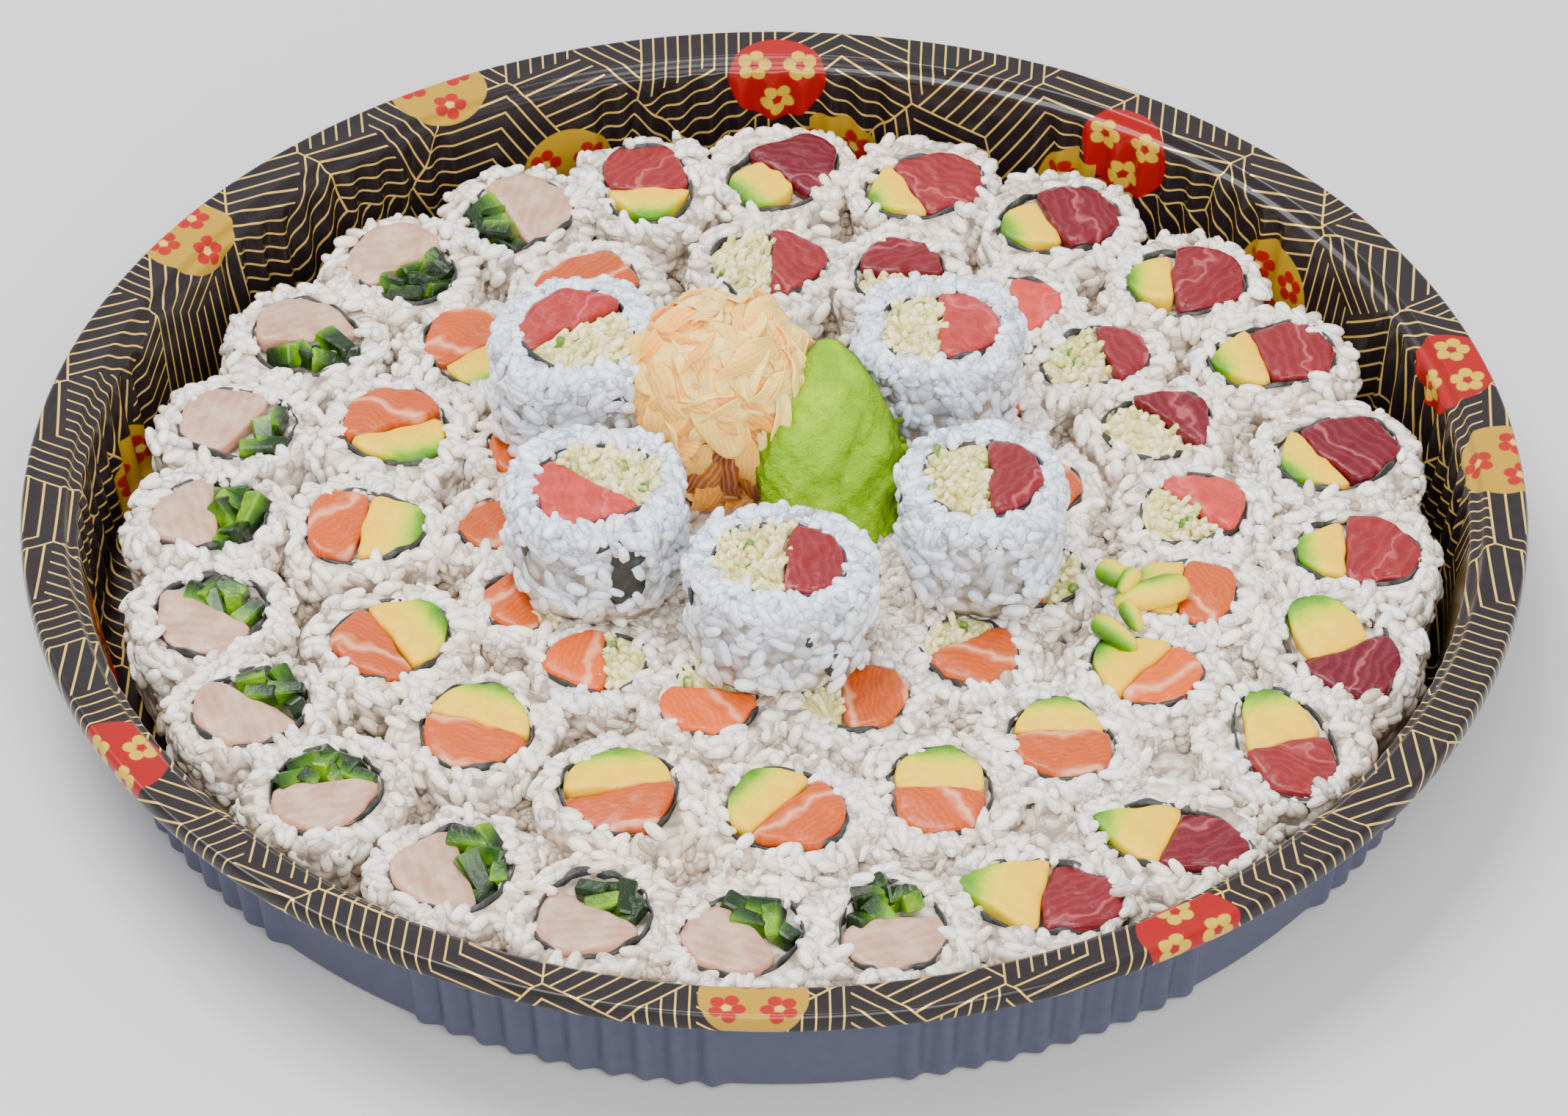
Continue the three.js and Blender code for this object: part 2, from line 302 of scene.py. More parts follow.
def make_medallion():
    """A round badge: a disc with three flowers on it.

    The bearing is folded into three equal parts, so that one flower beside the middle
    stands for three. The flower's own bearing is folded into five, so that one round
    petal stands for five.
    """
    group, given, out = new_group("medallion", ("Radius",), ("Disc", "Flower", "Heart"))
    scale = arithmetic(group, "DIVIDE", 1.0, given["Radius"])
    unit = add(group, "ShaderNodeVectorMath", {0: given["Place"], "Scale": scale},
               operation="SCALE").outputs[0]

    def fold(spot, parts, out_to):
        """Folds the bearing into parts, and moves the spot so far out to the middle."""
        axes = add(group, "ShaderNodeSeparateXYZ", {0: spot}).outputs
        bearing = arithmetic(group, "ADD", arithmetic(group, "ARCTAN2", axes[1], axes[0]), FULL_TURN)
        turned = arithmetic(group, "PINGPONG", bearing, math.pi / parts)
        away = vector(group, "LENGTH", spot)
        forward = times(group, away, arithmetic(group, "COSINE", turned))
        aside = times(group, away, arithmetic(group, "SINE", turned))
        forward = arithmetic(group, "SUBTRACT", forward, out_to)
        return add(group, "ShaderNodeCombineXYZ", {0: forward, 1: aside}).outputs[0], away

    def within(distance, limit):
        return steps(group, arithmetic(group, "SUBTRACT", limit, distance), -0.02, 0.02)

    by_flower, distance = fold(unit, 3, 0.55)
    by_petal, from_heart = fold(by_flower, 5, 0.22)
    petal = within(vector(group, "LENGTH", by_petal), 0.135)
    heart = within(from_heart, 0.09)
    results = {"Disc": within(distance, 1.0), "Flower": petal, "Heart": heart}
    for label, value in results.items():
        group.links.new(value, out.inputs[label])


# ---------------------------------------------------------------- mesh tools


def make_piece(name, points, faces, material, replaced=(), values=None, smooth=True):
    """Puts arrays of points and faces into a mesh that rides on the tray.

    Values of one number for each point become an attribute. Values of two numbers for
    each point, or for each face corner, become a map.
    """
    mesh = bpy.data.meshes.new(name)
    corners = np.concatenate([part.ravel() for part in faces]).astype(np.int32)
    sizes = np.concatenate([np.full(len(part), part.shape[1]) for part in faces])
    starts = np.concatenate([[0], np.cumsum(sizes)[:-1]]).astype(np.int32)
    mesh.vertices.add(len(points))
    mesh.vertices.foreach_set("co", np.asarray(points, np.float32).ravel())
    mesh.loops.add(len(corners))
    mesh.loops.foreach_set("vertex_index", corners)
    mesh.polygons.add(len(sizes))
    mesh.polygons.foreach_set("loop_start", starts)
    mesh.update(calc_edges=True)
    mesh.polygons.foreach_set("use_smooth", np.full(len(sizes), smooth))
    for label, data in (values or {}).items():
        data = np.asarray(data, np.float32)
        if data.ndim == 1:
            domain = "POINT" if len(data) == len(points) else "FACE"
            mesh.attributes.new(label, "FLOAT", domain).data.foreach_set("value", data)
        else:
            layer = mesh.uv_layers.new(name=label)
            corner_data = data if len(data) == len(corners) else data[corners]
            layer.data.foreach_set("uv", corner_data.ravel())
    mesh.materials.append(material)
    piece = bpy.data.objects.new(name, mesh)
    bpy.context.scene.collection.objects.link(piece)
    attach(piece, "root")
    if replaced:
        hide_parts(*replaced)
    return piece


def polar(bearing, length=1.0, level=0.0):
    """Points at a bearing, so far out from the upright axis and so high up."""
    parts = length * np.cos(bearing), length * np.sin(bearing), level
    return np.stack(np.broadcast_arrays(*parts), -1)


def full_turns(sides):
    """Evenly spaced bearings all the way round."""
    return np.arange(sides) * FULL_TURN / sides


def skin_faces(rings, sides):
    """Quads and end triangles of a closed skin: rings of points that run anticlockwise
    round the way from the first ring to the last, then the two end points."""
    ring = np.arange(rings - 1)[:, None] * sides
    side = np.arange(sides)[None, :]
    after = (side + 1) % sides
    corners = [ring + side, ring + after, ring + sides + after, ring + sides + side]
    quads = np.stack(np.broadcast_arrays(*corners), -1).reshape(-1, 4)
    last = (rings - 1) * sides
    end = np.full(sides, rings * sides)
    start_cap = np.stack([end, after[0], side[0]], -1)
    end_cap = np.stack([end + 1, last + side[0], last + after[0]], -1)
    return quads, np.concatenate([start_cap, end_cap])


def band_faces(rows, columns):
    """Quads of a grid that closes on itself both ways, as on a ring."""
    row = np.arange(rows)[:, None]
    column = np.arange(columns)[None, :]
    below = (row + 1) % rows
    after = (column + 1) % columns
    corners = [row * columns + column, row * columns + after,
               below * columns + after, below * columns + column]
    return np.stack(np.broadcast_arrays(*corners), -1).reshape(-1, 4)


def repeat_faces(parts, copies, points_each):
    """The faces of many copies whose points follow each other."""
    offsets = np.arange(copies)[:, None, None] * points_each
    return [(part[None] + offsets).reshape(-1, part.shape[1]) for part in parts]


def along(values, bearing):
    """A closed curve's value at any bearing, between its samples."""
    return np.interp(bearing, BEARINGS, values, period=FULL_TURN)


def stretched_shape(stations, radius, turn):
    """Rings round the X axis from -1 to 1, closed at both ends: its points and faces."""
    rings = np.roll(polar(turn, radius, stations), 1, axis=-1).reshape(-1, 3)
    ends = [[-1.0, 0, 0], [1.0, 0, 0]]
    return np.concatenate([rings, ends]), skin_faces(len(stations), len(turn))


def lens_shape(stations, sides, fullness):
    """A plump closed shape along X from -1 to 1. Its radius is one minus the distance
    from the middle to a power, and a larger power gives blunter ends."""
    stations = np.array(stations)[:, None]
    radius = np.sqrt(1 - np.abs(stations) ** fullness)
    return stretched_shape(stations, radius, full_turns(sides))


def block_shape():
    """A straight block from -1 to 1 along X with eight long sides: four wide and four
    narrow ones that take its corners off. It narrows a little at both ends."""
    stations = np.array([-1.0, -0.88, 0.0, 0.88, 1.0])[:, None]
    radius = 1.25 * np.array([0.84, 1.0, 1.0, 1.0, 0.84])[:, None]
    corners = np.radians([38, 52, 128, 142, 218, 232, 308, 322])
    return stretched_shape(stations, radius, corners)


def place_many(shape, spots, axes, sizes, taper=0.0):
    """Copies of one shape: scaled along its own axes, turned to each set of three axes
    and moved to each spot. With a taper they widen along X. All copies' points come
    back in one array."""
    local = shape[None] * np.ones((len(spots), 1, 1))
    local[..., 1:] *= 1 + np.asarray(taper)[..., None, None] * local[..., :1]
    return (spots[:, None] + (local * sizes[:, None]) @ axes).reshape(-1, 3)


def make_copies(name, shape, spots, axes, sizes, material, values, taper=0.0):
    """A piece of many copies of one shape. Values come one for each copy."""
    points, faces = shape
    total = len(spots)
    values = {label: np.repeat(value, len(points)) for label, value in values.items()}
    return make_piece(name, place_many(points, spots, axes, sizes, taper),
                      repeat_faces(faces, total, len(points)), material, (), values)


def two_sided_disc(shares, layers, sides):
    """A thin closed disc: for each point the share of the way out, the bearing and the
    side. The two middle points come last."""
    share = np.concatenate([np.repeat(shares, sides), [0, 0]])
    turn = np.concatenate([np.tile(full_turns(sides), len(shares)), [0, 0]])
    side = np.concatenate([np.repeat(layers, sides), [layers[0], layers[-1]]])
    return share, turn, side


def right_handed(first, second):
    """Three square axes for each item, from a first axis and a rough second one."""
    first = first / np.linalg.norm(first, axis=-1, keepdims=True)
    third = np.cross(first, second)
    third /= np.linalg.norm(third, axis=-1, keepdims=True)
    return np.stack([first, np.cross(third, first), third], -2)


# ---------------------------------------------------------------- the rolls' layout

Roll = namedtuple("Roll", "name centre foot top reach nori fish fillings tone")

FISH_BEARINGS = {
    "outer_roll": [95, 41, 25, 21, 0, 14, 35, 0, -64, -74, -17, -11,
                   -82, -142, -126, -161, -87, -123, -121, -174, 151, 99, 131, 34],
    "middle_roll": [98, 0, 90, 0, 12, 40, 42, -10, -39, -90, -95, -37, -83, -111, -150, 171, 112, 120],
    "inner_roll": [90, 0, 180, -60, 0, -100, 180, 180, 180, 180],
    "raised_roll": [124, -129, -5, 0, 0],
}
FILLINGS = {
    "outer_roll": [("tuna", "avocado")] * 12 + [("white_fish", "green_pepper")] * 12,
    "middle_roll": [("salmon", "avocado")] + [("tuna", "cucumber")] * 6 + [("salmon", "avocado")] * 11,
    "inner_roll": [("salmon", "cucumber")] * 10,
    "raised_roll": [("tuna", "cucumber")] * 5,
}
# How pale a roll's fish is, from 0 to 1, where it differs from its neighbours.
PALENESS = {
    "middle_roll_03": 0.12, "middle_roll_04": 1.0, "middle_roll_06": 0.05, "middle_roll_07": 0.9,
    "middle_roll_08": 0.1, "middle_roll_09": 0.75, "inner_roll_06": 0.8, "inner_roll_07": 0.9,
    "raised_roll_1": 0.5, "raised_roll_2": 0.8, "raised_roll_3": 0.2, "raised_roll_4": 0.15,
    "raised_roll_5": 0.6,
}
# Half the length and half the width, in mm, of the ovals that are drawn out most.
LONG_OVALS = {
    "outer_roll_09": (18.5, 12.0), "outer_roll_10": (19.5, 11.0),
    "outer_roll_11": (19.0, 10.5), "outer_roll_12": (20.0, 11.5),
}


def node_points(name):
    """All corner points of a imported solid, one row each."""
    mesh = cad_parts[name].data
    points = np.empty(len(mesh.vertices) * 3)
    mesh.vertices.foreach_get("co", points)
    return points.reshape(-1, 3)


def read_roll(name, fish, fillings, number):
    """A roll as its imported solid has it: its middle, its height and how far it reaches
    each way, smoothed to seven slow waves. The seaweed's oval is a share of that reach,
    half rounded off, drawn out towards the fish, with two slow waves of its own."""
    points = node_points(name)
    low, high = points.min(0), points.max(0)
    centre = (low[:2] + high[:2]) / 2
    share = (points[:, 2] - low[2]) / (high[2] - low[2])
    widest = points[(share > 0.7) & (share < 0.9), :2] - centre
    reach = np.interp(BEARINGS, np.arctan2(widest[:, 1], widest[:, 0]),
                      np.hypot(widest[:, 0], widest[:, 1]), period=FULL_TURN)
    waves = np.fft.rfft(reach)
    waves[8:] = 0
    reach = np.fft.irfft(waves, len(BEARINGS)) * 1.05
    phase = 1.7 * number
    stretch = 0.13 if fillings == ("tuna", "avocado") else 0.07
    wobble = (stretch * np.cos(2 * (BEARINGS - math.radians(fish)))
              + 0.035 * np.sin(2 * BEARINGS + phase) + 0.03 * np.sin(3 * BEARINGS - 2.1 * phase))
    nori = 0.70 * (0.4 * reach + 0.6 * reach.mean()) * (1 + wobble)
    nori = np.minimum(nori, 0.84 * reach)
    if name in LONG_OVALS:
        half_long, half_wide = np.array(LONG_OVALS[name]) * MM
        turned = BEARINGS - math.radians(fish)
        nori = 1 / np.sqrt((np.cos(turned) / half_long) ** 2 + (np.sin(turned) / half_wide) ** 2)
        nori = np.minimum(nori, reach)
    tone = PALENESS.get(name, 0.13 + 0.14 * math.sin(2.7 * number))
    return Roll(name, centre, low[2], high[2], reach, nori, math.radians(fish), fillings, tone)


def read_rolls(group):
    """Every roll of one group, in the order of their names."""
    rolls = []
    for index, (fish, fillings) in enumerate(zip(FISH_BEARINGS[group], FILLINGS[group])):
        name = f"raised_roll_{index + 1}" if group == "raised_roll" else f"{group}_{index + 1:02d}"
        rolls.append(read_roll(name, fish, fillings, index + len(group)))
    return rolls


ROLLS = {group: read_rolls(group) for group in FISH_BEARINGS}
ALL_ROLLS = [roll for rolls in ROLLS.values() for roll in rolls]


# ---------------------------------------------------------------- settings


def length_setting(label, about, value, smallest=0.0):
    """A length in metres, as a slider of the panel."""
    return bpy.props.FloatProperty(name=label, description=about, default=value, min=smallest,
                                   unit="LENGTH", subtype="DISTANCE", precision=5)


def colour_setting(label, about, red, green, blue):
    """A colour with its alpha, as a swatch of the panel."""
    return bpy.props.FloatVectorProperty(name=label, description=about, size=4, min=0.0, max=1.0,
                                         default=colour(red, green, blue), subtype="COLOR")


def count_setting(label, about, value):
    """A whole number of at least one, as a field of the panel."""
    return bpy.props.IntProperty(name=label, description=about, default=value, min=1)


class TraySettings(bpy.types.PropertyGroup):
    """The printed tray's colours and measures."""

    ground: colour_setting("Ground", "Dark colour of the printed side", 20, 14, 16)
    gold: colour_setting("Gold", "Colour of the printed lines", 222, 184, 92)
    red: colour_setting("Red", "Colour of the red medallions", 140, 0, 0)
    outside: colour_setting("Outside", "Colour of the plastic behind the print", 62, 64, 82)
    lattice_edge: length_setting("Lattice edge", "Side of one hexagon of the print", 25 * MM)
    line_width: length_setting("Line width", "Width of a printed gold line", 0.56 * MM)
    medallion_radius: length_setting("Medallion radius", "Radius of a printed badge", 12.4 * MM)
    flute_depth: length_setting("Flute depth", "How far a wall rib stands out", 2.3 * MM)


class RiceSettings(bpy.types.PropertyGroup):
    """The grains' colours, size and number."""

    white: colour_setting("White", "Colour of a full white grain", 253, 253, 253)
    # This colour is both the glassy grain's colour and painted shade: grains that lie low and the gaps in
    # the packed rice get it.
    clear: colour_setting("Clear", "Colour of a moist, glassy grain", 166, 156, 144)
    grain_length: length_setting("Grain length", "Length of a cooked grain", 7.0 * MM)
    grain_width: length_setting("Grain width", "Width of a cooked grain", 3.3 * MM)
    lower_grains: count_setting("Grains", "Loose grains on each lower roll", 160)
    raised_grains: count_setting("Raised grains", "Loose grains on each raised roll", 520)


class SeaweedSettings(bpy.types.PropertyGroup):
    """The sheet's colour and thickness."""

    shade: colour_setting("Shade", "Colour of the damp seaweed", 20, 22, 21)
    thickness: length_setting("Thickness", "Thickness of the seaweed sheet", 0.45 * MM)


class FillingSettings(bpy.types.PropertyGroup):
    """The colours of what the rolls hold."""

    tuna: colour_setting("Tuna", "Colour of the tuna", 86, 0, 22)
    pale_tuna: colour_setting("Pale tuna", "Colour of the palest tuna", 198, 62, 52)
    salmon: colour_setting("Salmon", "Colour of the salmon", 204, 82, 0)
    white_fish: colour_setting("White fish", "Colour of the white fish", 186, 156, 130)
    avocado: colour_setting("Avocado", "Colour of the avocado's flesh", 226, 190, 2)
    pepper: colour_setting("Pepper", "Colour of the pepper's flesh", 70, 112, 0)
    cucumber: colour_setting("Cucumber", "Colour of the cucumber shreds", 216, 204, 128)
    shred_width: length_setting("Shred width", "Thickness of a cucumber shred", 2.0 * MM)


class GingerSettings(bpy.types.PropertyGroup):
    """The heap's colours, and the number and thickness of its slices."""

    # Peach and cream follow each slice's height on the heap and chance, not its thickness: low slices get
    # the peach as painted shade, high ones the cream.
    peach: colour_setting("Peach", "Colour of a thick slice", 255, 160, 34)
    cream: colour_setting("Cream", "Colour of a thin slice", 255, 212, 108)
    slices: count_setting("Slices", "Number of slices on the heap", 230)
    thickness: length_setting("Thickness", "Thickness of a slice", 0.45 * MM)


class WasabiSettings(bpy.types.PropertyGroup):
    """The paste's two greens."""

    # Bright and deep are painted light: the bright green shows on the front face, and the deep green
    # stands for shade at the edges and in the cracks.
    bright: colour_setting("Bright", "Colour of the smooth face", 126, 170, 0)
    deep: colour_setting("Deep", "Colour of the edges and cracks", 74, 96, 0)


class StageSettings(bpy.types.PropertyGroup):
    """The floor's colour and the camera's view."""

    floor: colour_setting("Floor", "Colour of the floor", 188, 187, 187)
    lens: bpy.props.FloatProperty(name="Lens", description="Focal length of the camera",
                                  default=172.9, min=10.0, unit="CAMERA")
    distance: length_setting("Distance", "Camera's distance from the tray's rim centre", 1.8)


# ---------------------------------------------------------------- materials


def tray_material(settings):
    """Glossy dark plastic with gold lines, red and gold medallions, and a plain outside."""
    material, tree = new_material("printed tray", Specular_IOR_Level=0.3)
    place = own_map(tree, "print")
    line = group_outputs(tree, "gold lattice", Place=place, Edge=settings.lattice_edge,
                         Stripes=5.5, Line_Width=settings.line_width)["Line"]
    worn = noise(tree, place, 260.0, 2.0)
    ground = mix(tree, worn, settings.ground, colour(31, 23, 25))
    shine = mix(tree, worn, settings.gold, colour(206, 168, 84))
    printed = mix(tree, line, ground, shine)
    badge = group_outputs(tree, "medallion", Place=own_map(tree, "medallion"),
                          Radius=settings.medallion_radius)
    is_red = own_value(tree, "red_medallion")
    base = mix(tree, is_red, colour(160, 124, 24), settings.red)
    motif = mix(tree, is_red, colour(150, 20, 8), colour(182, 148, 34))
    heart = mix(tree, is_red, colour(206, 168, 76), settings.red)
    badge_colour = mix(tree, badge["Flower"], base, motif)
    badge_colour = mix(tree, badge["Heart"], badge_colour, heart)
    printed = mix(tree, badge["Disc"], printed, badge_colour)
    inside = own_value(tree, "printed")
    outside = mix(tree, worn, settings.outside, colour(72, 74, 92))
    gloss = times_plus(tree, worn, 0.06, times_plus(tree, inside, -0.24, 0.46))
    metal = times(tree, arithmetic(tree, "SUBTRACT", line, badge["Disc"]), inside)
    fill(tree, tree.nodes["Principled BSDF"], {"Metallic": times(tree, metal, 0.35)})
    relief = fine_relief(tree, object_place(tree), 45.0, 900.0, 0.04)
    shade = mix(tree, inside, outside, printed)
    return finish_skin(material, shade, gloss, relief, 0.0008, 0.5)


def mix_colours(first, second, share):
    """A fixed colour between two others."""
    return tuple(a + (b - a) * share for a, b in zip(first, second))


def height_tint(tree, place):
    """Painted light by height: warm white, in random patches, low in the tray, where the rice lies in
    warm shade, and cool white, as if lit by the sky, on the rolls that stand on the others.
    """
    height = add(tree, "ShaderNodeSeparateXYZ", {0: place}).outputs[2]
    patch = noise(tree, place, 16.0, 1.0)
    low = mix(tree, patch, colour(255, 233, 207), colour(251, 247, 242))
    return mix(tree, steps(tree, height, 27 * MM, 40 * MM), low, colour(230, 240, 255))


def rice_material(settings):
    """Moist cooked rice: white and glassy grains, softly lit from within. Grains that lie low take the
    darker glassy colour as painted shade.
    """
    material, tree = new_material(
        "cooked rice", glow=(0.5, 0.0016, (1.0, 0.85, 0.7)), coat=(0.6, 0.1))
    place = object_place(tree)
    cloud = noise(tree, place, 190.0, 2.0)
    tone = times_plus(tree, cloud, 0.5, own_value(tree, "tone"))
    pale = mix_colours(settings.clear, settings.white, 0.8)
    # Painted shade: a low tone, which grains that lie low or deep are given, turns a grain toward the
    # darker glassy colour.
    shade = ramp(tree, tone, (0.1, settings.clear), (0.55, pale), (1.0, settings.white))
    # Painted light: the rice is tinted warm low in the tray and cool up on the raised rolls.
    shade = mix(tree, 1.0, shade, height_tint(tree, place), "MULTIPLY")
    # Small dark brown specks scattered at random over the grains.
    speck = noise(tree, place, 210.0, 1.0)
    dirt = times(tree, steps(tree, speck, 0.775, 0.80), 0.75)
    shade = mix(tree, dirt, shade, colour(74, 62, 46))
    wet = times_plus(tree, noise(tree, place, 320.0), 0.26, 0.24)
    relief = fine_relief(tree, place, 480.0, 2600.0, 0.12)
    return finish_skin(material, shade, wet, relief, 0.0009, 0.7)


def rice_bed_material(settings):
    """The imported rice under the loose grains: grain-sized lumps with shade between."""
    material, tree = new_material("packed rice", glow=(0.4, 0.0016, (1.0, 0.85, 0.7)))
    place = object_place(tree)
    cells = add(tree, "ShaderNodeTexVoronoi", {"Vector": place, "Scale": 260.0, "Smoothness": 0.3},
                feature="SMOOTH_F1").outputs["Distance"]
    cloud = noise(tree, place, 120.0)
    shade = ramp(tree, cloud, (0.3, settings.clear), (0.7, settings.white))
    # Painted light: the packed rice is tinted warm low in the tray and cool up on the raised rolls.
    shade = mix(tree, 1.0, shade, height_tint(tree, place), "MULTIPLY")
    gap_shade = mix(tree, 0.6, settings.clear, colour(120, 104, 86))
    gaps = steps(tree, cells, 0.45, 0.75)
    shade = mix(tree, gaps, shade, gap_shade)
    rough = times_plus(tree, cloud, 0.2, 0.32)
    return finish_skin(material, shade, rough, times(tree, cells, -1.0), 0.0022, 0.9)


def seaweed_material(settings):
    """Damp dark sheet with a crumpled grain and a faint green sheen."""
    material, tree = new_material("seaweed sheet")
    place = object_place(tree)
    mottled = noise(tree, place, 420.0, 4.0)
    # Painted sheen: the paler blue-grey patches of the mottle stand for light glancing off the damp
    # sheet.
    shade = ramp(tree, mottled, (0.3, settings.shade), (0.62, colour(44, 46, 44)),
                 (0.8, colour(66, 74, 82)))
    rough = times_plus(tree, mottled, 0.35, 0.25)
    return finish_skin(material, shade, rough, mottled, 0.0006, 0.8)


def tuna_material(settings):
    """Rose-red flesh with fine pale marbling and a wet skin."""
    material, tree = new_material(
        "raw tuna", glow=(0.1, 0.002, (1.0, 0.3, 0.3)), Specular_IOR_Level=0.22, coat=(0.12, 0.08))
    place = own_map(tree, "piece")
    marbling = fibre_lines(tree, place, 380.0, 3.4, 3.0)
    sinew = fibre_lines(tree, place, 52.0, 0.9, 90.0)
    tone = own_value(tree, "tone")
    flesh = mix(tree, tone, settings.tuna, settings.pale_tuna)
    cloud = noise(tree, place, 260.0, 3.0)
    flesh = mix(tree, steps(tree, cloud, 0.35, 0.7), mix(tree, 0.3, flesh, colour(84, 2, 14)), flesh)
    flesh = mix(tree, times(tree, marbling["Line"], 0.06), flesh, colour(226, 110, 106))
    flesh = mix(tree, times(tree, sinew["Line"], 0.28), flesh, colour(222, 118, 122))
    rough = times_plus(tree, cloud, 0.22, 0.22)
    relief = fine_relief(tree, place, 240.0, 1800.0, 0.15)
    relief = times_plus(tree, marbling["Wave"], 0.12, relief)
    return finish_skin(material, flesh, rough, relief, 0.0009, 0.6)


def salmon_material(settings):
    """Orange flesh with a few broad pale stripes and fine grain between them."""
    material, tree = new_material(
        "raw salmon", glow=(0.15, 0.002, (1.0, 0.5, 0.3)), Specular_IOR_Level=0.25, coat=(0.12, 0.08))
    place = own_map(tree, "piece")
    stripes = fibre_lines(tree, place, 70.0, 0.6, 22.0)
    grain = fibre_lines(tree, place, 640.0, 5.0, 2.0)
    tone = own_value(tree, "tone")
    flesh = mix(tree, times_plus(tree, tone, 0.8, 0.4), colour(140, 54, 4), settings.salmon)
    cloud = noise(tree, place, 210.0, 3.0)
    flesh = mix(tree, times(tree, cloud, 0.4), flesh, colour(184, 68, 2))
    flesh = mix(tree, times(tree, grain["Line"], 0.05), flesh, colour(250, 190, 150))
    flesh = mix(tree, times(tree, stripes["Line"], 0.55), flesh, colour(240, 178, 138))
    rough = times_plus(tree, cloud, 0.2, 0.22)
    relief = fine_relief(tree, place, 220.0, 1600.0, 0.15)
    relief = times_plus(tree, stripes["Line"], -0.18, relief)
    return finish_skin(material, flesh, rough, relief, 0.0009, 0.6)


def white_fish_material(settings):
    """Pinkish beige flesh with fine fan-like lines and a rosier edge."""
    material, tree = new_material(
        "raw white fish", glow=(0.25, 0.003, (1.0, 0.6, 0.45)), Specular_IOR_Level=0.3, coat=(0.15, 0.08))
    place = own_map(tree, "piece")
    lines = fibre_lines(tree, place, 330.0, 1.0, 2.0)
    cloud = noise(tree, place, 150.0, 3.0)
    flesh = mix(tree, steps(tree, cloud, 0.35, 0.7), colour(168, 128, 104), settings.white_fish)
    flesh = mix(tree, times(tree, lines["Line"], 0.1), flesh, colour(232, 208, 190))
    rim = times(tree, steps(tree, own_value(tree, "rim"), 0.86, 1.0), 0.5)
    flesh = mix(tree, rim, flesh, colour(206, 136, 114))
    rough = times_plus(tree, cloud, 0.2, 0.22)
    relief = fine_relief(tree, place, 200.0, 1500.0, 0.15)
    relief = times_plus(tree, lines["Wave"], 0.05, relief)
    return finish_skin(material, flesh, rough, relief, 0.0009, 0.6)


def avocado_material(settings):
    """Buttery flesh that turns green towards the outer edge, with small dark flecks."""
    material, tree = new_material(
        "ripe avocado", glow=(0.15, 0.002, (1.0, 0.9, 0.3)), Specular_IOR_Level=0.25)
    place = own_map(tree, "piece")
    cloud = noise(tree, place, 160.0, 3.0)
    edge = times_plus(tree, cloud, 0.3, own_value(tree, "edge"))
    edge = arithmetic(tree, "SUBTRACT", edge, 0.15)
    shade = ramp(tree, edge, (0.0, colour(232, 178, 4)), (0.5, settings.avocado),
                 (0.66, colour(176, 188, 0)), (0.82, colour(92, 146, 0)), (1.0, colour(40, 84, 0)))
    flecks = steps(tree, noise(tree, place, 420.0, 2.0), 0.70, 0.78)
    shade = mix(tree, times(tree, flecks, 0.35), shade, colour(150, 130, 50))
    rough = times_plus(tree, cloud, 0.2, 0.3)
    relief = fine_relief(tree, place, 260.0, 1500.0, 0.2)
    return finish_skin(material, shade, rough, relief, 0.0009, 0.6)


def pepper_material(settings):
    """Bright wet flesh on one side of each chunk and dark skin on the other."""
    material, tree = new_material(
        "green pepper", glow=(0.1, 0.002, (0.5, 1.0, 0.3)), Specular_IOR_Level=0.3, coat=(0.2, 0.08))
    place = object_place(tree)
    cloud = noise(tree, place, 330.0, 3.0)
    skin = times_plus(tree, cloud, 0.5, own_value(tree, "skin"))
    shade = ramp(tree, skin, (0.05, colour(132, 176, 8)), (0.38, settings.pepper),
                 (0.7, colour(34, 72, 0)), (1.0, colour(12, 34, 0)))
    rough = times_plus(tree, cloud, 0.25, 0.15)
    relief = fine_relief(tree, place, 420.0, 2200.0, 0.2)
    return finish_skin(material, shade, rough, relief, 0.0008, 0.7)


def cucumber_material(settings):
    """Moist pale shreds, some greener and a few with dark skin."""
    material, tree = new_material("cucumber shreds", glow=(0.3, 0.003, (0.9, 1.0, 0.5)))
    place = object_place(tree)
    cloud = noise(tree, place, 420.0, 2.0)
    tone = times_plus(tree, cloud, 0.2, own_value(tree, "tone"))
    shade = ramp(tree, tone, (0.1, colour(240, 226, 172)), (0.55, settings.cucumber),
                 (0.95, colour(190, 198, 120)), (1.12, colour(84, 124, 40)))
    rough = times_plus(tree, cloud, 0.2, 0.22)
    relief = fine_relief(tree, place, 700.0, 2600.0, 0.2)
    return finish_skin(material, shade, rough, relief, 0.0006, 0.6)


def ginger_material(settings):
    """Thin moist slices, from peach to cream, with fine fibres, and brown as painted shade in the folds
    and low on the heap.
    """
    material, tree = new_material(
        "pickled ginger", glow=(0.3, 0.002, (1.0, 0.6, 0.3)), Specular_IOR_Level=0.25, coat=(0.15, 0.1))
    place = own_map(tree, "piece")
    fibres = fibre_lines(tree, place, 800.0, 3.0, 2.5)
    cloud = noise(tree, place, 130.0, 3.0)
    tone = times_plus(tree, cloud, 0.35, own_value(tree, "tone"))
    # Painted shade: the brown end of the ramp goes to the core between the slices and to slices low on
    # the heap.
    shade = ramp(tree, tone, (0.05, colour(130, 56, 4)), (0.4, settings.peach), (0.95, settings.cream))
    shade = mix(tree, times(tree, fibres["Line"], 0.14), shade, colour(252, 238, 210))
    rough = times_plus(tree, cloud, 0.25, 0.2)
    relief = fine_relief(tree, place, 200.0, 1700.0, 0.15)
    relief = times_plus(tree, fibres["Wave"], 0.15, relief)
    return finish_skin(material, shade, rough, relief, 0.001, 0.6)


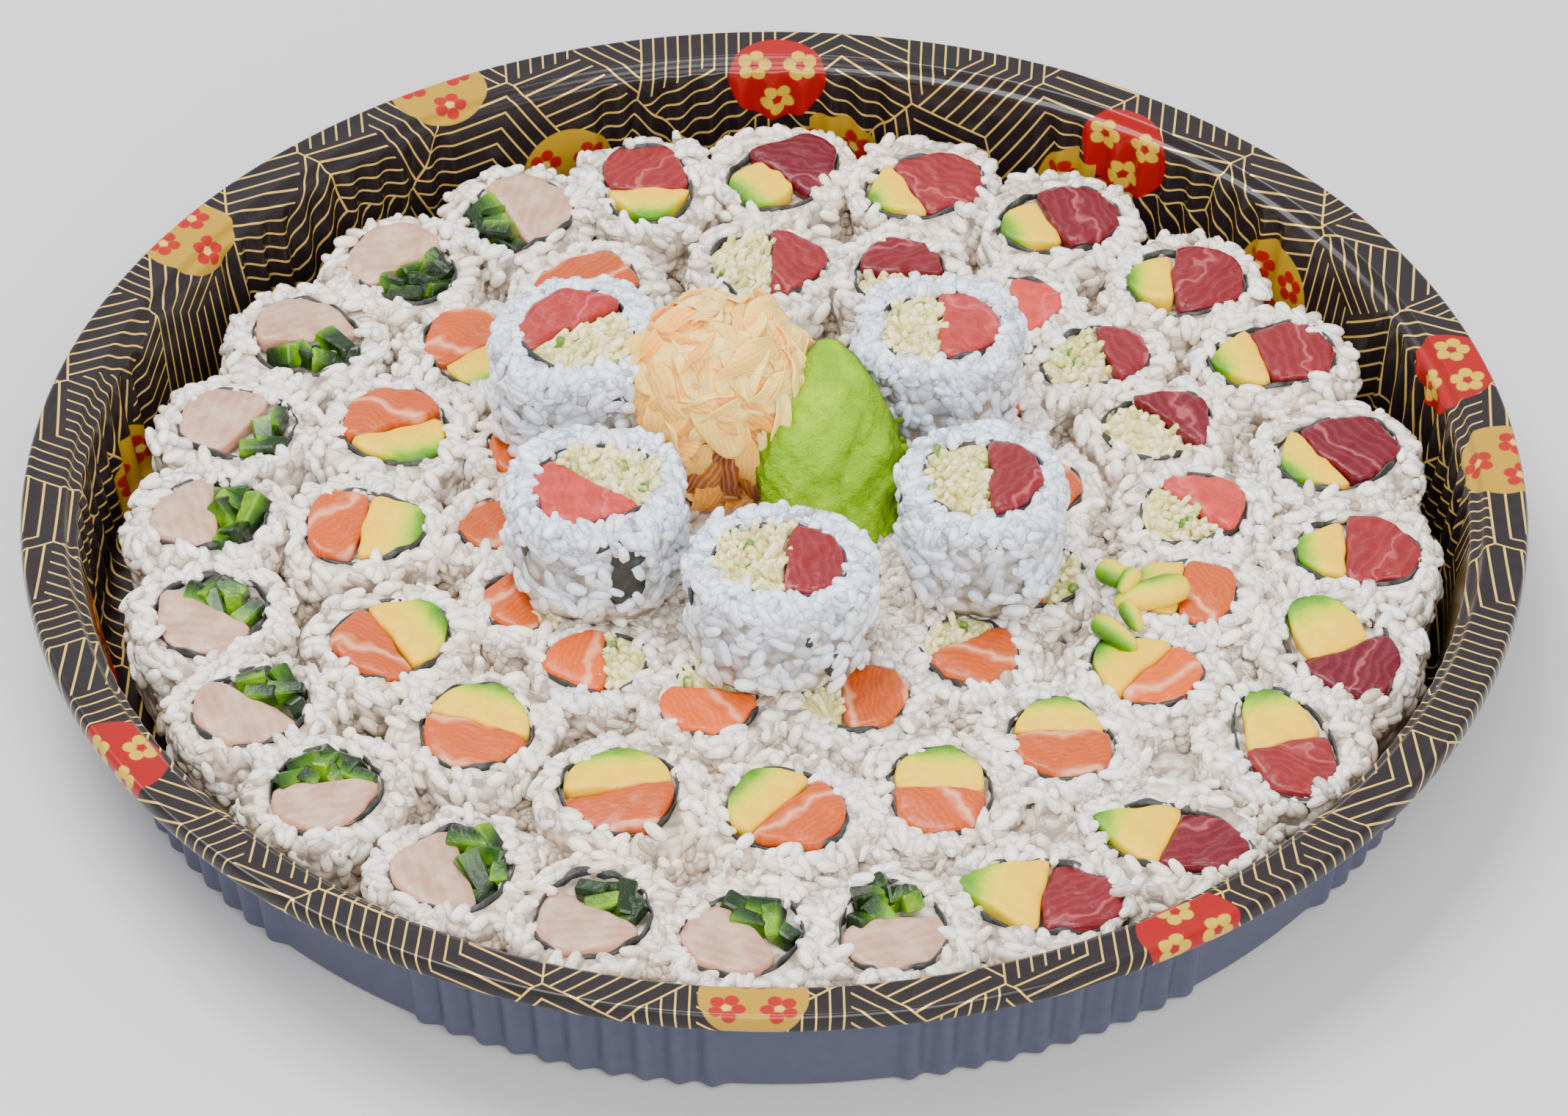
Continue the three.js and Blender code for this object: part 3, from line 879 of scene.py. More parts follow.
def wasabi_material(settings):
    """Matt green paste with painted light: brighter on the pressed face, and the deep green as painted
    shade at the edges and in the cracks.
    """
    material, tree = new_material(
        "wasabi paste", glow=(0.05, 0.002, (0.7, 1.0, 0.2)), Specular_IOR_Level=0.15)
    place = object_place(tree)
    cloud = noise(tree, place, 90.0, 4.0, 0.6)
    # Painted light: the face share is high on the front face, which shows bright, and low at the edges
    # and in the crease, which show the deep green as shade.
    face = times(tree, own_value(tree, "face"), 0.55)
    face = times_plus(tree, cloud, 0.7, face)
    shade = ramp(tree, face, (0.35, settings.deep), (0.85, settings.bright), (1.0, colour(156, 196, 20)))
    rough = times_plus(tree, cloud, 0.2, 0.5)
    relief = fine_relief(tree, place, 170.0, 1400.0, 0.3)
    return finish_skin(material, shade, rough, relief, 0.003, 1.0)


def floor_material(settings):
    """A plain pale matt floor with the faintest cloud in it."""
    material, tree = new_material("pale floor", Roughness=0.6)
    cloud = noise(tree, object_place(tree), 3.0, 3.0)
    paler = tuple(min(1.0, value * 1.06) for value in settings.floor[:3]) + (1.0,)
    shade = mix(tree, cloud, settings.floor, paler)
    fill(tree, tree.nodes["Principled BSDF"], {"Base Color": shade})
    return material


# ---------------------------------------------------------------- tray

RIM_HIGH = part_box("tray")[1]
RIM_RADIUS = RIM_HIGH.x
RIM_HEIGHT = RIM_HIGH.z
SHEET = 1.4 * MM
WALL_FOOT_RADIUS = RIM_RADIUS - 17.4 * MM
WALL_TOP_RADIUS = RIM_RADIUS - 12.6 * MM
SKIRT_DROP = 4.8 * MM
BAND_WIDTH = 8.6 * MM
SEAT_DROP = 3.4 * MM
FLOOR_TOP = 2 * MM
TRAY_SIDES = 990
FLUTE_GROUPS = 9
FLUTES_PER_GROUP = 10
FLUTE_PITCH = math.radians(2.7)
FIRST_PLAIN_PART = math.radians(-87)

# Each medallion: its bearing in degrees, its distance out on the flat sheet, and 1 for red.
MEDALLIONS = np.array([
    (89.8, 0.2094, 1), (57.7, 0.2056, 1), (15.5, 0.2158, 1), (-58.2, 0.2236, 1),
    (212.2, 0.2246, 1), (85.0, 0.1860, 0), (61.5, 0.1895, 0), (3.5, 0.2215, 0),
    (40.0, 0.1903, 0), (-91.5, 0.2191, 0), (146.8, 0.2201, 0), (119.0, 0.2230, 0),
    (109.0, 0.1880, 0), (165.0, 0.1815, 0), (-30.0, 0.1900, 1), (-125.0, 0.1900, 0),
    (-76.0, 0.1900, 1), (190.0, 0.1890, 1),
])


def tray_section():
    """The section of the formed sheet, from the middle of its underside out, up over
    the lip and back in to the middle of the floor. Columns: radius, height, flutedness,
    and 1 on the printed side. Its corners are cut twice to a quarter of their sides."""
    band_outer = RIM_RADIUS - SHEET
    band_inner = band_outer - BAND_WIDTH
    band_height = RIM_HEIGHT - 0.6 * MM
    skirt_height = RIM_HEIGHT - SKIRT_DROP
    seat_height = RIM_HEIGHT - SEAT_DROP
    corners = np.array([
        (60 * MM, 0, 0, 0),
        (WALL_FOOT_RADIUS - 1.8 * MM, 0, 0, 0),
        (WALL_FOOT_RADIUS + 0.3 * MM, 2 * MM, 1, 0),
        (WALL_FOOT_RADIUS + 1.0 * MM, 7 * MM, 1, 0),
        (WALL_TOP_RADIUS - 0.8 * MM, 29 * MM, 1, 0),
        (WALL_TOP_RADIUS, 34 * MM, 0.5, 0),
        (band_inner + 0.6 * MM, skirt_height, 0, 0),
        (band_inner + SHEET, band_height - SHEET, 0, 0),
        (band_outer - 0.6 * MM, RIM_HEIGHT - SHEET, 0, 0),
        (band_outer - 0.2 * MM, skirt_height, 0, 0),
        (RIM_RADIUS, skirt_height, 0, 1),
        (RIM_RADIUS, RIM_HEIGHT - 1.2 * SHEET, 0, 1),
        (band_outer + 0.5 * MM, RIM_HEIGHT, 0, 1),
        (band_outer - 1.6 * MM, band_height + 0.1 * MM, 0, 1),
        (band_inner + 1.2 * MM, band_height, 0, 1),
        (band_inner - 0.4 * MM, band_height, 0, 1),
        (band_inner - SHEET, seat_height + 0.4 * MM, 0, 1),
        (band_inner - 3.2 * MM, seat_height, 0, 1),
        (WALL_TOP_RADIUS - SHEET, seat_height - 1.2 * MM, 0.2, 1),
        (WALL_TOP_RADIUS - SHEET - 1.2 * MM, 27 * MM, 1, 1),
        (WALL_FOOT_RADIUS - SHEET + 0.8 * MM, 9 * MM, 1, 1),
        (WALL_FOOT_RADIUS - SHEET, 4 * MM, 1, 1),
        (WALL_FOOT_RADIUS - SHEET - 2.5 * MM, FLOOR_TOP, 0, 1),
        (130 * MM, FLOOR_TOP, 0, 1),
        (60 * MM, FLOOR_TOP, 0, 1),
    ])
    for _ in range(2):
        before, after = corners[:-1], corners[1:]
        cut = np.stack([0.75 * before + 0.25 * after, 0.25 * before + 0.75 * after], 1).reshape(-1, 4)
        corners = np.concatenate([corners[:1], cut, corners[-1:]])
    return corners


def flute_wave(turn):
    """How far a rib stands out, from 0 to 1: a full cosine wave for each rib within a
    group, and nothing on the plain parts between groups."""
    group_turn = FULL_TURN / FLUTE_GROUPS
    within = np.mod(turn - FIRST_PLAIN_PART, group_turn) - group_turn / 2
    count = within / FLUTE_PITCH + (FLUTES_PER_GROUP - 1) / 2
    inside = (count > -0.5) & (count < FLUTES_PER_GROUP - 0.5)
    return np.where(inside, 0.5 + 0.5 * np.cos(FULL_TURN * count), 0.0)


def build_tray(settings):
    """The section carried round the tray's axis, with ribs pressed into the wall.

    The print's map gives each point its place on the flat sheet that the tray was formed
    from: its bearing is kept, and its distance out is its length along the section."""
    section = tray_section()
    sides = TRAY_SIDES
    turn = full_turns(sides)
    radius = section[:, 0:1] + section[:, 2:3] * settings.flute_depth * flute_wave(turn)[None]
    points = polar(turn, radius, section[:, 1:2]).reshape(-1, 3)
    points = np.concatenate([points, [[0, 0, 0], [0, 0, FLOOR_TOP]]])
    quads, caps = skin_faces(len(section), sides)

    printed = (section[:, 3] > 0.5).astype(float)
    lengths = np.concatenate([[0], np.cumsum(np.hypot(*np.diff(section[:, :2], axis=0).T))])
    skirt = lengths[np.argmax(printed)]
    floor_edge = np.interp(WALL_FOOT_RADIUS - 5 * MM, section[::-1, 0][:8], lengths[::-1][:8])
    flat_edge = WALL_FOOT_RADIUS - 5 * MM + floor_edge - skirt
    flat_radius = np.maximum(flat_edge - np.abs(lengths - skirt), 0.0)[:, None]
    flat = polar(turn, flat_radius)[..., :2].reshape(-1, 2)
    flat = np.concatenate([flat, [[0, 0], [0, 0]]])

    ring_radius = section[:, 0:1] * np.ones(sides)
    turns = np.broadcast_to(turn, radius.shape)
    on_sheet = np.stack([np.broadcast_to(flat_radius, radius.shape), turns, ring_radius], -1)
    on_sheet = np.concatenate([on_sheet.reshape(-1, 3), np.zeros((2, 3))])
    badge_turn, badge_radius = np.radians(MEDALLIONS[:, 0]), MEDALLIONS[:, 1]

    def turn_away(bearing, start):
        return np.mod(bearing - start + math.pi, FULL_TURN) - math.pi

    relative, red = [], []
    for part in (quads, caps):
        middle = on_sheet[part[:, 0]]
        away = turn_away(middle[:, 1:2], badge_turn)
        nearest = np.argmin(np.hypot(away * middle[:, 2:3], middle[:, 0:1] - badge_radius), 1)
        away = turn_away(on_sheet[part, 1], badge_turn[nearest][:, None])
        outward = on_sheet[part, 0] - badge_radius[nearest][:, None]
        relative.append(np.stack([-outward, away * on_sheet[part, 2]], -1).reshape(-1, 2))
        red.append(MEDALLIONS[nearest, 2])
    values = {
        "print": flat,
        "medallion": np.concatenate(relative),
        "red_medallion": np.concatenate(red),
        "printed": np.concatenate([np.repeat(printed, sides), [0, 1]]),
    }
    return make_piece("printed_tray", points, [quads, caps], tray_material(settings),
                      ["tray"], values)


# ---------------------------------------------------------------- rice

# How blunt a grain's ends are.
GRAIN_FULLNESS = 2.6

def build_rice_bed(group, rolls, material):
    """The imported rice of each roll: rings of its reach from the foot up to the shoulder
    and in to a shallow hollow under the fillings."""
    shares = np.array([0.88, 0.95, 0.975, 0.985, 0.965, 0.90])
    drops = np.array([1.0, 0.9, 0.5, 0.20, 0.09, 0.04])
    inner_shares = np.array([1.06, 0.96, 0.5])
    inner_drops = np.array([0.035, 0.11, 0.14])
    points = []
    sides = len(BEARINGS)
    for index, roll in enumerate(rolls):
        height = roll.top - roll.foot
        lumps = 1 + 0.02 * np.sin(9 * BEARINGS + 3 * index) + 0.015 * np.sin(14 * BEARINGS - index)
        outer = shares[:, None] * roll.reach * lumps
        inner = inner_shares[:, None] * roll.nori
        radius = np.concatenate([outer, inner])
        level = roll.top - height * np.concatenate([drops, inner_drops])[:, None]
        rings = (polar(BEARINGS, radius, level) + [*roll.centre, 0]).reshape(-1, 3)
        ends = [[*roll.centre, roll.foot], [*roll.centre, roll.top - 0.14 * height]]
        points.append(np.concatenate([rings, ends]))
    faces = repeat_faces(skin_faces(len(shares) + len(inner_shares), sides), len(rolls), len(points[0]))
    return make_piece(f"{group}_rice_bed", np.concatenate(points), faces, material,
                      [roll.name for roll in rolls])


def rice_path(rolls, owner, bearing, share, depth, inset):
    """Points on the rice's outer surface. The share runs from the seaweed's edge over
    the top, round the shoulder and down the side to the given depth. The inset is how
    far from the seaweed the rice begins."""
    marks = [0.0, 0.34, 0.52, 0.70, 1.0]
    nori = np.array([roll.nori for roll in rolls])
    reach = np.array([roll.reach for roll in rolls])
    centres = np.array([roll.centre for roll in rolls])
    tops = np.array([roll.top for roll in rolls])
    column = bearing / FULL_TURN * len(BEARINGS)
    low = np.floor(column).astype(int) % len(BEARINGS)
    high = (low + 1) % len(BEARINGS)
    part = column - np.floor(column)
    nori_here = nori[owner, low] * (1 - part) + nori[owner, high] * part
    reach_here = reach[owner, low] * (1 - part) + reach[owner, high] * part
    radius = (np.interp(share, marks, [1, 0, 0, 0, 0]) * (nori_here + inset)
              + np.interp(share, marks, [0, 0.94, 1.0, 1.01, 0.99]) * reach_here)
    drop = np.interp(share, marks, [0.4 * MM, 0.7 * MM, 3.0 * MM, 7.0 * MM, depth])
    middles = np.concatenate([centres[owner], np.zeros((len(owner), 1))], 1)
    return polar(bearing, radius, tops[owner] - drop) + middles


def build_rice_grains(group, rolls, count, depth, settings, material, seed):
    """Loose grains on the rice's surface, each lying along it at its own angle."""
    chance = np.random.default_rng(seed)
    total = count * len(rolls)
    owner = np.repeat(np.arange(len(rolls)), count)
    bearing = chance.uniform(0, FULL_TURN, total)
    share = chance.uniform(0, 1, total)
    inset = chance.uniform(-0.2, 1.8, total) * MM
    spots = rice_path(rolls, owner, bearing, share, depth, inset)
    ahead = np.minimum(share + 0.01, 1)
    down = (rice_path(rolls, owner, bearing, ahead, depth, inset)
            - rice_path(rolls, owner, bearing, ahead - 0.01, depth, inset))
    round_way = polar(bearing + math.pi / 2)
    down /= np.linalg.norm(down, axis=1, keepdims=True)
    out = np.cross(down, round_way)
    swing = chance.uniform(0, math.pi, total)[:, None]
    tilt = chance.normal(0, 0.24, total)[:, None]
    long_axis = np.cos(swing) * round_way + np.sin(swing) * down + tilt * out
    axes = right_handed(long_axis, np.cross(out, long_axis))
    length = settings.grain_length / 2 * chance.uniform(0.78, 1.12, total)
    width = settings.grain_width / 2 * chance.uniform(0.85, 1.1, total)
    sizes = np.stack([length, width * chance.uniform(0.95, 1.15, total), width], -1)
    lift = (chance.normal(0.0, 0.55, total) + 0.45 * np.sin(4 * bearing + 7 * share + 2.1 * owner)
            + 0.3 * np.sin(9 * bearing - 5 * share + owner))
    spots += out * (lift[:, None] - 0.6) * MM
    # Painted shade: grains that lie lower get a lower tone, so a darker, glassier colour; the rest of the
    # tone is random.
    tone = 0.30 + 0.28 * lift + chance.uniform(-0.3, 0.3, total)
    shape = lens_shape([-0.82, -0.32, 0.32, 0.82], 6, GRAIN_FULLNESS)
    return make_copies(f"{group}_rice_grains", shape, spots, axes, sizes, material,
                       {"tone": tone})


# The bed's rings from its underside out and back in over the top: radius, and depth
# under the lower rolls' tops, in mm.
BETWEEN_RINGS = np.array([(144, 24), (147, 23), (147, 18), (143, 16), (118, 15),
                          (92, 14), (68, 10), (54, 4.5), (40, 4), (18, 4)])
# Loose grains are tried all over the field, and lie higher inside the centre.
FIELD_RADIUS = 156 * MM
CENTRE_RADIUS = 62 * MM
GRAIN_TRIES = 19500


def build_rice_between(settings, material, bed):
    """Rice pressed into the gaps between the rolls and round what stands in the middle:
    a low bed, and grains at even random places where no roll covers them."""
    lower = [roll for roll in ALL_ROLLS if not roll.name.startswith("raised")]
    top = lower[0].top
    turn = full_turns(120)
    ring_radius, drop = BETWEEN_RINGS.T[:, :, None] * MM
    level = top - drop
    radius = ring_radius * (1 + 0.006 * np.sin(24 * turn))
    level = level + 0.5 * MM * np.sin(19 * turn + 700 * ring_radius)
    toward_corner = (np.cos(turn) - np.sin(turn)) * 0.7 * radius
    level = level + 9 * MM * np.clip(toward_corner / (80 * MM), 0, 1) * (ring_radius > 80 * MM)
    rings = polar(turn, radius, level).reshape(-1, 3)
    ends = [[0, 0, top - drop[0, 0]], [0, 0, top - drop[-1, 0]]]
    make_piece("rice_between_bed", np.concatenate([rings, ends]),
               skin_faces(len(BETWEEN_RINGS), len(turn)), bed)

    chance = np.random.default_rng(91)
    distance = FIELD_RADIUS * np.sqrt(chance.uniform(0.02, 1, GRAIN_TRIES))
    bearing = chance.uniform(0, FULL_TURN, GRAIN_TRIES)
    places = polar(bearing, distance)[:, :2]
    gaps = []
    for roll in lower:
        apart = places - roll.centre
        reach = along(roll.reach, np.arctan2(apart[:, 1], apart[:, 0]))
        gaps.append(np.hypot(apart[:, 0], apart[:, 1]) - reach)
    nearest, second = np.sort(np.array(gaps), 0)[:2]
    central = distance < CENTRE_RADIUS
    kept = (nearest > -1.2 * MM) & ((second < 6.5 * MM) | central)
    places, nearest, second, central = places[kept], nearest[kept], second[kept], central[kept]
    total = len(places)
    loose = 7.5 * MM * (1 - np.clip(places @ np.array([0.7, -0.7]) / (80 * MM), 0, 1))
    drop = 1.2 * MM + loose + 0.6 * np.maximum(nearest, 0) + 0.6 * np.maximum(second - 1 * MM, 0)
    drop = np.where(central, 2.4 * MM, drop)
    level = top - drop - chance.uniform(0, 2.0, total) * MM
    spots = np.concatenate([places, level[:, None]], 1)
    lying = np.concatenate([chance.normal(0, 1, (total, 2)), chance.normal(0, 0.35, (total, 1))], 1)
    axes = right_handed(lying, chance.normal(0, 1, (total, 3)))
    length = settings.grain_length / 2 * chance.uniform(0.8, 1.1, total)
    width = settings.grain_width / 2 * chance.uniform(0.85, 1.1, total)
    # Painted shade: grains that lie deeper between the rolls get a lower tone, so a darker, glassier
    # colour; the rest of the tone is random.
    tone = chance.uniform(0.0, 0.6, total) - drop / (16 * MM)
    return make_copies("rice_between_grains", lens_shape([-0.72, 0.0, 0.72], 6, GRAIN_FULLNESS), spots,
                       axes, np.stack([length, width, width], -1), material, {"tone": tone})


# ---------------------------------------------------------------- seaweed

# Bare patches on the sides of the stacked rolls: the roll's number, the bearing in
# degrees, how far down the middle is, and half the width and the height, in mm.
BARE_PATCHES = np.array([
    (2, -68, 5.5, 3.6, 4.5), (2, -70, 14.5, 4.6, 5.5), (2, -88, 2.4, 3.0, 1.6), (2, -140, 7, 1.6, 3.4),
    (3, -52, 20, 2.2, 4.6), (3, 196, 4.5, 1.6, 4.8), (3, -70, 10.5, 0.8, 1.6),
    (4, -100, 2.6, 1.2, 1.6), (4, -84, 3.6, 0.9, 1.4), (4, 188, 5.0, 1.5, 2.6),
    (5, 206, 4.5, 1.6, 3.2), (1, -50, 2.6, 2.4, 1.8), (1, -64, 6, 1.2, 2.0),
])


def build_bare_patches(settings, material):
    """Seaweed that shows where rice has come off: a thin two-sided disc with a ragged
    edge, bent round the roll's side. Its two parameters are the share of the way out to
    the edge and the bearing round it."""
    rolls = ROLLS["raised_roll"]
    owner = BARE_PATCHES[:, 0].astype(int) - 1
    shares = [0.4, 0.75, 1.0, 1.0, 0.75, 0.4]
    sides = 18
    share, turn, side = two_sided_disc(shares, [-1, -1, -1, 1, 1, 1], sides)
    number = np.arange(len(owner))[:, None]
    ragged = share * (1 + 0.14 * np.sin(3 * turn + number) + 0.10 * np.sin(5 * turn - 2 * number))
    reach = np.array([roll.reach.mean() for roll in rolls])[owner][:, None]
    aside = ragged * np.cos(turn) * BARE_PATCHES[:, 3:4] * MM
    bearing = np.radians(BARE_PATCHES[:, 1:2]) + aside / reach
    drop = (BARE_PATCHES[:, 2:3] + ragged * np.sin(turn) * BARE_PATCHES[:, 4:5]) * MM
    drop = np.maximum(drop, 0.8 * MM)
    whose = np.broadcast_to(owner[:, None], bearing.shape)
    marks = [0.8 * MM, 3.0 * MM, 7.0 * MM, 26 * MM]
    depth_share = np.interp(drop, marks, [0.34, 0.52, 0.70, 1.0])
    spots = rice_path(rolls, whose.ravel(), np.mod(bearing, FULL_TURN).ravel(), depth_share.ravel(),
                      26 * MM, 1 * MM)
    out = polar(bearing, 1.0, 0.3).reshape(-1, 3)
    lift = side * settings.thickness / 2 + 0.35 * MM
    lift = np.broadcast_to(lift, bearing.shape).reshape(-1, 1)
    faces = repeat_faces(skin_faces(len(shares), sides), len(owner), len(share))
    return make_piece("seaweed_patches", spots + out * lift, faces, material)


def build_seaweed(settings):
    """A thin sheet on edge round each roll's fillings: a flat section carried round the
    oval, whose upper edge rises and falls in waves."""
    points = []
    for index, roll in enumerate(ALL_ROLLS):
        chance = np.random.default_rng(400 + index)
        edge = sum(chance.uniform(0.15, 0.5) * MM * np.sin(k * BEARINGS + chance.uniform(0, 6))
                   for k in (2, 3, 5, 9))
        side = 1 + 0.012 * np.sin(11 * BEARINGS + index) + 0.01 * np.sin(17 * BEARINGS)
        outer = roll.nori * side + 0.5 * settings.thickness
        inner = outer - settings.thickness
        upper = roll.top - 0.3 * MM + edge
        lower = np.full(len(BEARINGS), roll.top - 5 * MM)
        radius = np.stack([outer, outer, inner, inner])
        level = np.stack([lower, upper, upper + 0.1 * MM, lower])
        points.append((polar(BEARINGS, radius, level) + [*roll.centre, 0]).reshape(-1, 3))
    faces = repeat_faces([band_faces(4, len(BEARINGS))], len(points), len(points[0]))
    material = seaweed_material(settings)
    build_bare_patches(settings, material)
    return make_piece("seaweed_sheets", np.concatenate(points), faces, material)


# ---------------------------------------------------------------- fillings

EDGE_TURNS = full_turns(48)
EDGE_RAYS = polar(EDGE_TURNS)[:, :2]
# A block's rings from the bottom up: the share of its outline, and the depth in mm.
PAD_SHARES = np.array([0.85, 0.97, 1.0, 0.985, 0.94, 0.84, 0.66, 0.44, 0.22])
PAD_DROPS = np.array([6.0, 4.0, 1.7, 0.75, 0.28, 0.06, 0.0, -0.05, -0.08]) * MM


def part_outline(roll, toward, cut, corner=9.0):
    """The edge of what fills a roll's oval on one side of a straight cut.

    From a point inside, each way's reach is the shorter of two: to the oval, found by
    stepping out by what is still missing, and to the cut. A power mean joins them, which
    rounds the corners off. The cut is so far from the roll's middle, towards the part."""
    direction = polar(toward)[:2]
    limit = roll.nori - 0.15 * MM
    middle = direction * (along(limit, toward) + cut) / 2
    to_oval = np.full(len(EDGE_RAYS), 2 * MM)
    for _ in range(30):
        spots = middle + EDGE_RAYS * to_oval[:, None]
        missing = along(limit, np.arctan2(spots[:, 1], spots[:, 0])) - np.hypot(*spots.T)
        to_oval += 0.7 * missing
    component = EDGE_RAYS @ direction
    room = cut - middle @ direction
    to_cut = np.where(component < -1e-3, room / np.minimum(component, -1e-3), 1.0)
    return middle, (to_oval ** -corner + to_cut ** -corner) ** (-1 / corner)


def pad_points(roll, toward, cut, lift, chance, corner=9.0, wave=0.03, narrow=1.0, taper=0.0):
    """A block that fills part of the oval, with a rounded, slightly domed top.

    Rings of the outline, each with its own share and height, run from the bottom up. Slow
    waves make its top uneven. It may be narrower than the oval, and taper outwards.
    Returns its points, its own flat map, how far each point is out towards the part's
    far side, and each point's share of the way to the outline."""
    middle, reach = part_outline(roll, toward, cut, corner)
    uneven = 1 + wave * (np.sin(3 * EDGE_TURNS + chance.uniform(0, 6))
                         + 0.6 * np.sin(5 * EDGE_TURNS + chance.uniform(0, 6)))
    radius = PAD_SHARES[:, None] * reach * uneven
    direction = polar(toward)[:2]
    sideways = np.array([-direction[1], direction[0]])
    offset = radius[..., None] * EDGE_RAYS
    onward, aside = offset @ direction, offset @ sideways
    aside = aside * np.clip(narrow + taper * onward / np.abs(onward).max(), 0.2, 1.0)
    spots = middle + onward[..., None] * direction + aside[..., None] * sideways
    spots = np.concatenate([spots.reshape(-1, 2), [middle, middle]])
    drop = np.concatenate([np.repeat(PAD_DROPS, len(EDGE_TURNS)), PAD_DROPS[[0, -1]]])
    phases = chance.uniform(0, 6, 4)
    relief = (0.28 * np.sin(spots[:, 0] * 520 + phases[0]) * np.cos(spots[:, 1] * 430 + phases[1])
              + 0.14 * np.sin(spots[:, 0] * 1050 - spots[:, 1] * 800 + phases[2])) * MM
    slope = (spots - middle) @ chance.normal(0, 0.045, 2)
    level = roll.top + lift - drop + np.where(drop < 1 * MM, relief + slope, 0.0)
    spin = chance.uniform(-0.9, 0.9)
    turned = direction * math.cos(spin) + sideways * math.sin(spin)
    turned_sideways = np.array([-turned[1], turned[0]])
    flat = np.stack([spots @ turned, spots @ turned_sideways], -1) + chance.uniform(-1, 1, 2)
    far = along(roll.nori, toward)
    out = np.clip((spots @ direction - cut) / (far - cut), 0, 1)
    points = np.concatenate([spots + roll.centre, level[:, None]], 1)
    rim = np.concatenate([np.repeat(PAD_SHARES, len(EDGE_TURNS)), [PAD_SHARES[0], 0.0]])
    return points, flat, out, rim


def build_pads(name, pads, tones, material):
    """Joins the blocks of one filling into one piece, with its map and its values."""
    points, flat, out, rim = (np.concatenate(part) for part in zip(*pads))
    each = len(pads[0][0])
    faces = repeat_faces(skin_faces(len(PAD_SHARES), len(EDGE_TURNS)), len(pads), each)
    values = {"piece": flat, "edge": out, "rim": rim, "tone": np.repeat(tones, each)}
    return make_piece(name, points, faces, material, (), values)


# How far the cut lies from the roll's middle towards the fish, in mm, at least and at
# most: the lower, the more of the roll is fish.
CUT_RANGES = {
    ("tuna", "avocado"): (-4.2, -1.6), ("salmon", "avocado"): (-1.8, 1.4),
    ("white_fish", "green_pepper"): (-3.6, -1.0), ("tuna", "cucumber"): (-0.8, 2.6),
    ("salmon", "cucumber"): (-4.5, -2.0),
}


LONG_OVAL_SHIFT = 3.6 * MM


def rolls_with(filling):
    """Each roll that holds a filling, its own source of chance, and how far the cut
    between its two fillings lies from the roll's middle towards the fish."""
    for index, roll in enumerate(ALL_ROLLS):
        if filling in roll.fillings:
            chance = np.random.default_rng(700 + index)
            shift = LONG_OVAL_SHIFT if roll.name in LONG_OVALS else 0.0
            yield roll, chance, chance.uniform(*CUT_RANGES[roll.fillings]) * MM + shift


def build_fish(kind, material, corner, wave):
    """Every block of one kind of fish."""
    pads, tones = [], []
    for roll, chance, cut in rolls_with(kind):
        lift = chance.uniform(0.4, 1.4) * MM
        pads.append(pad_points(roll, roll.fish, cut, lift, chance, corner, wave))
        tones.append(roll.tone)
    return build_pads(f"{kind}_blocks", pads, tones, material)


def build_avocado(material):
    """A wedge of avocado beside each block of fish that has one."""
    pads = []
    for roll, chance, cut in rolls_with("avocado"):
        beside_tuna = roll.fillings[0] == "tuna"
        narrow = 0.78 if beside_tuna else 0.92
        taper = chance.uniform(-0.45, 0.2) if beside_tuna else chance.uniform(-0.1, 0.1)
        pads.append(pad_points(roll, roll.fish + math.pi, 0.1 * MM - cut, chance.uniform(0.3, 1.3) * MM,
                               chance, 14.0, 0.04, narrow, taper))
    return build_pads("avocado_wedges", pads, np.full(len(pads), 0.5), material)


# Bits of avocado that lie loose: place in mm, bearing in degrees, and half the length,
# the width and the thickness in mm.
AVOCADO_BITS = np.array([
    (89.5, -28.0, 30.6, 14, 9.4, 4.2, 3.0), (81.4, -22.4, 31.4, 152, 5.4, 3.4, 2.6),
    (84.0, -25.6, 32.6, 60, 4.0, 2.4, 1.8), (84.5, -36.1, 30.6, 112, 4.8, 2.3, 2.0),
    (80.2, -42.2, 30.6, 138, 6.6, 3.0, 2.4),
])


def build_avocado_bits(material):
    """Rounded blocks, wider at one end, each green along one of its sides."""
    count = len(AVOCADO_BITS)
    spots, sizes = AVOCADO_BITS[:, :3] * MM, AVOCADO_BITS[:, 4:] * MM
    bearing = np.radians(AVOCADO_BITS[:, 3])
    onward = polar(bearing, 1.0, 0.12)
    shape, faces = lens_shape([-0.95, -0.8, -0.45, 0.0, 0.45, 0.8, 0.95], 16, 3.4)
    axes = right_handed(onward, np.cross([0.1, -0.15, 1.0], onward))
    points = place_many(shape, spots, axes, sizes, np.full(count, 0.2))
    edge = np.tile(0.62 + 0.36 * shape[:, 1], count)
    flat = (points - np.repeat(spots, len(shape), 0))[:, :2] + np.repeat(bearing, len(shape))[:, None]
    return make_piece("avocado_bits", points, repeat_faces(faces, count, len(shape)), material,
                      (), {"piece": flat, "edge": edge})


def spread_in_part(roll, toward, cut, spacing, chance, margin=0.0):
    """Places on a jittered triangular grid within what fills one side of a cut."""
    span = int(16 * MM / spacing) + 1
    rows, columns = np.mgrid[-span:span + 1, -span:span + 1]
    grid = np.stack([(columns + 0.5 * (rows % 2)) * spacing, rows * spacing * 0.87], -1).reshape(-1, 2)
    grid = grid + chance.normal(0, 0.16 * spacing, grid.shape)
    distance = np.hypot(*grid.T)
    limit = along(roll.nori, np.arctan2(grid[:, 1], grid[:, 0])) - margin
    direction = polar(toward)[:2]
    return grid[(distance < limit) & (grid @ direction > cut)]


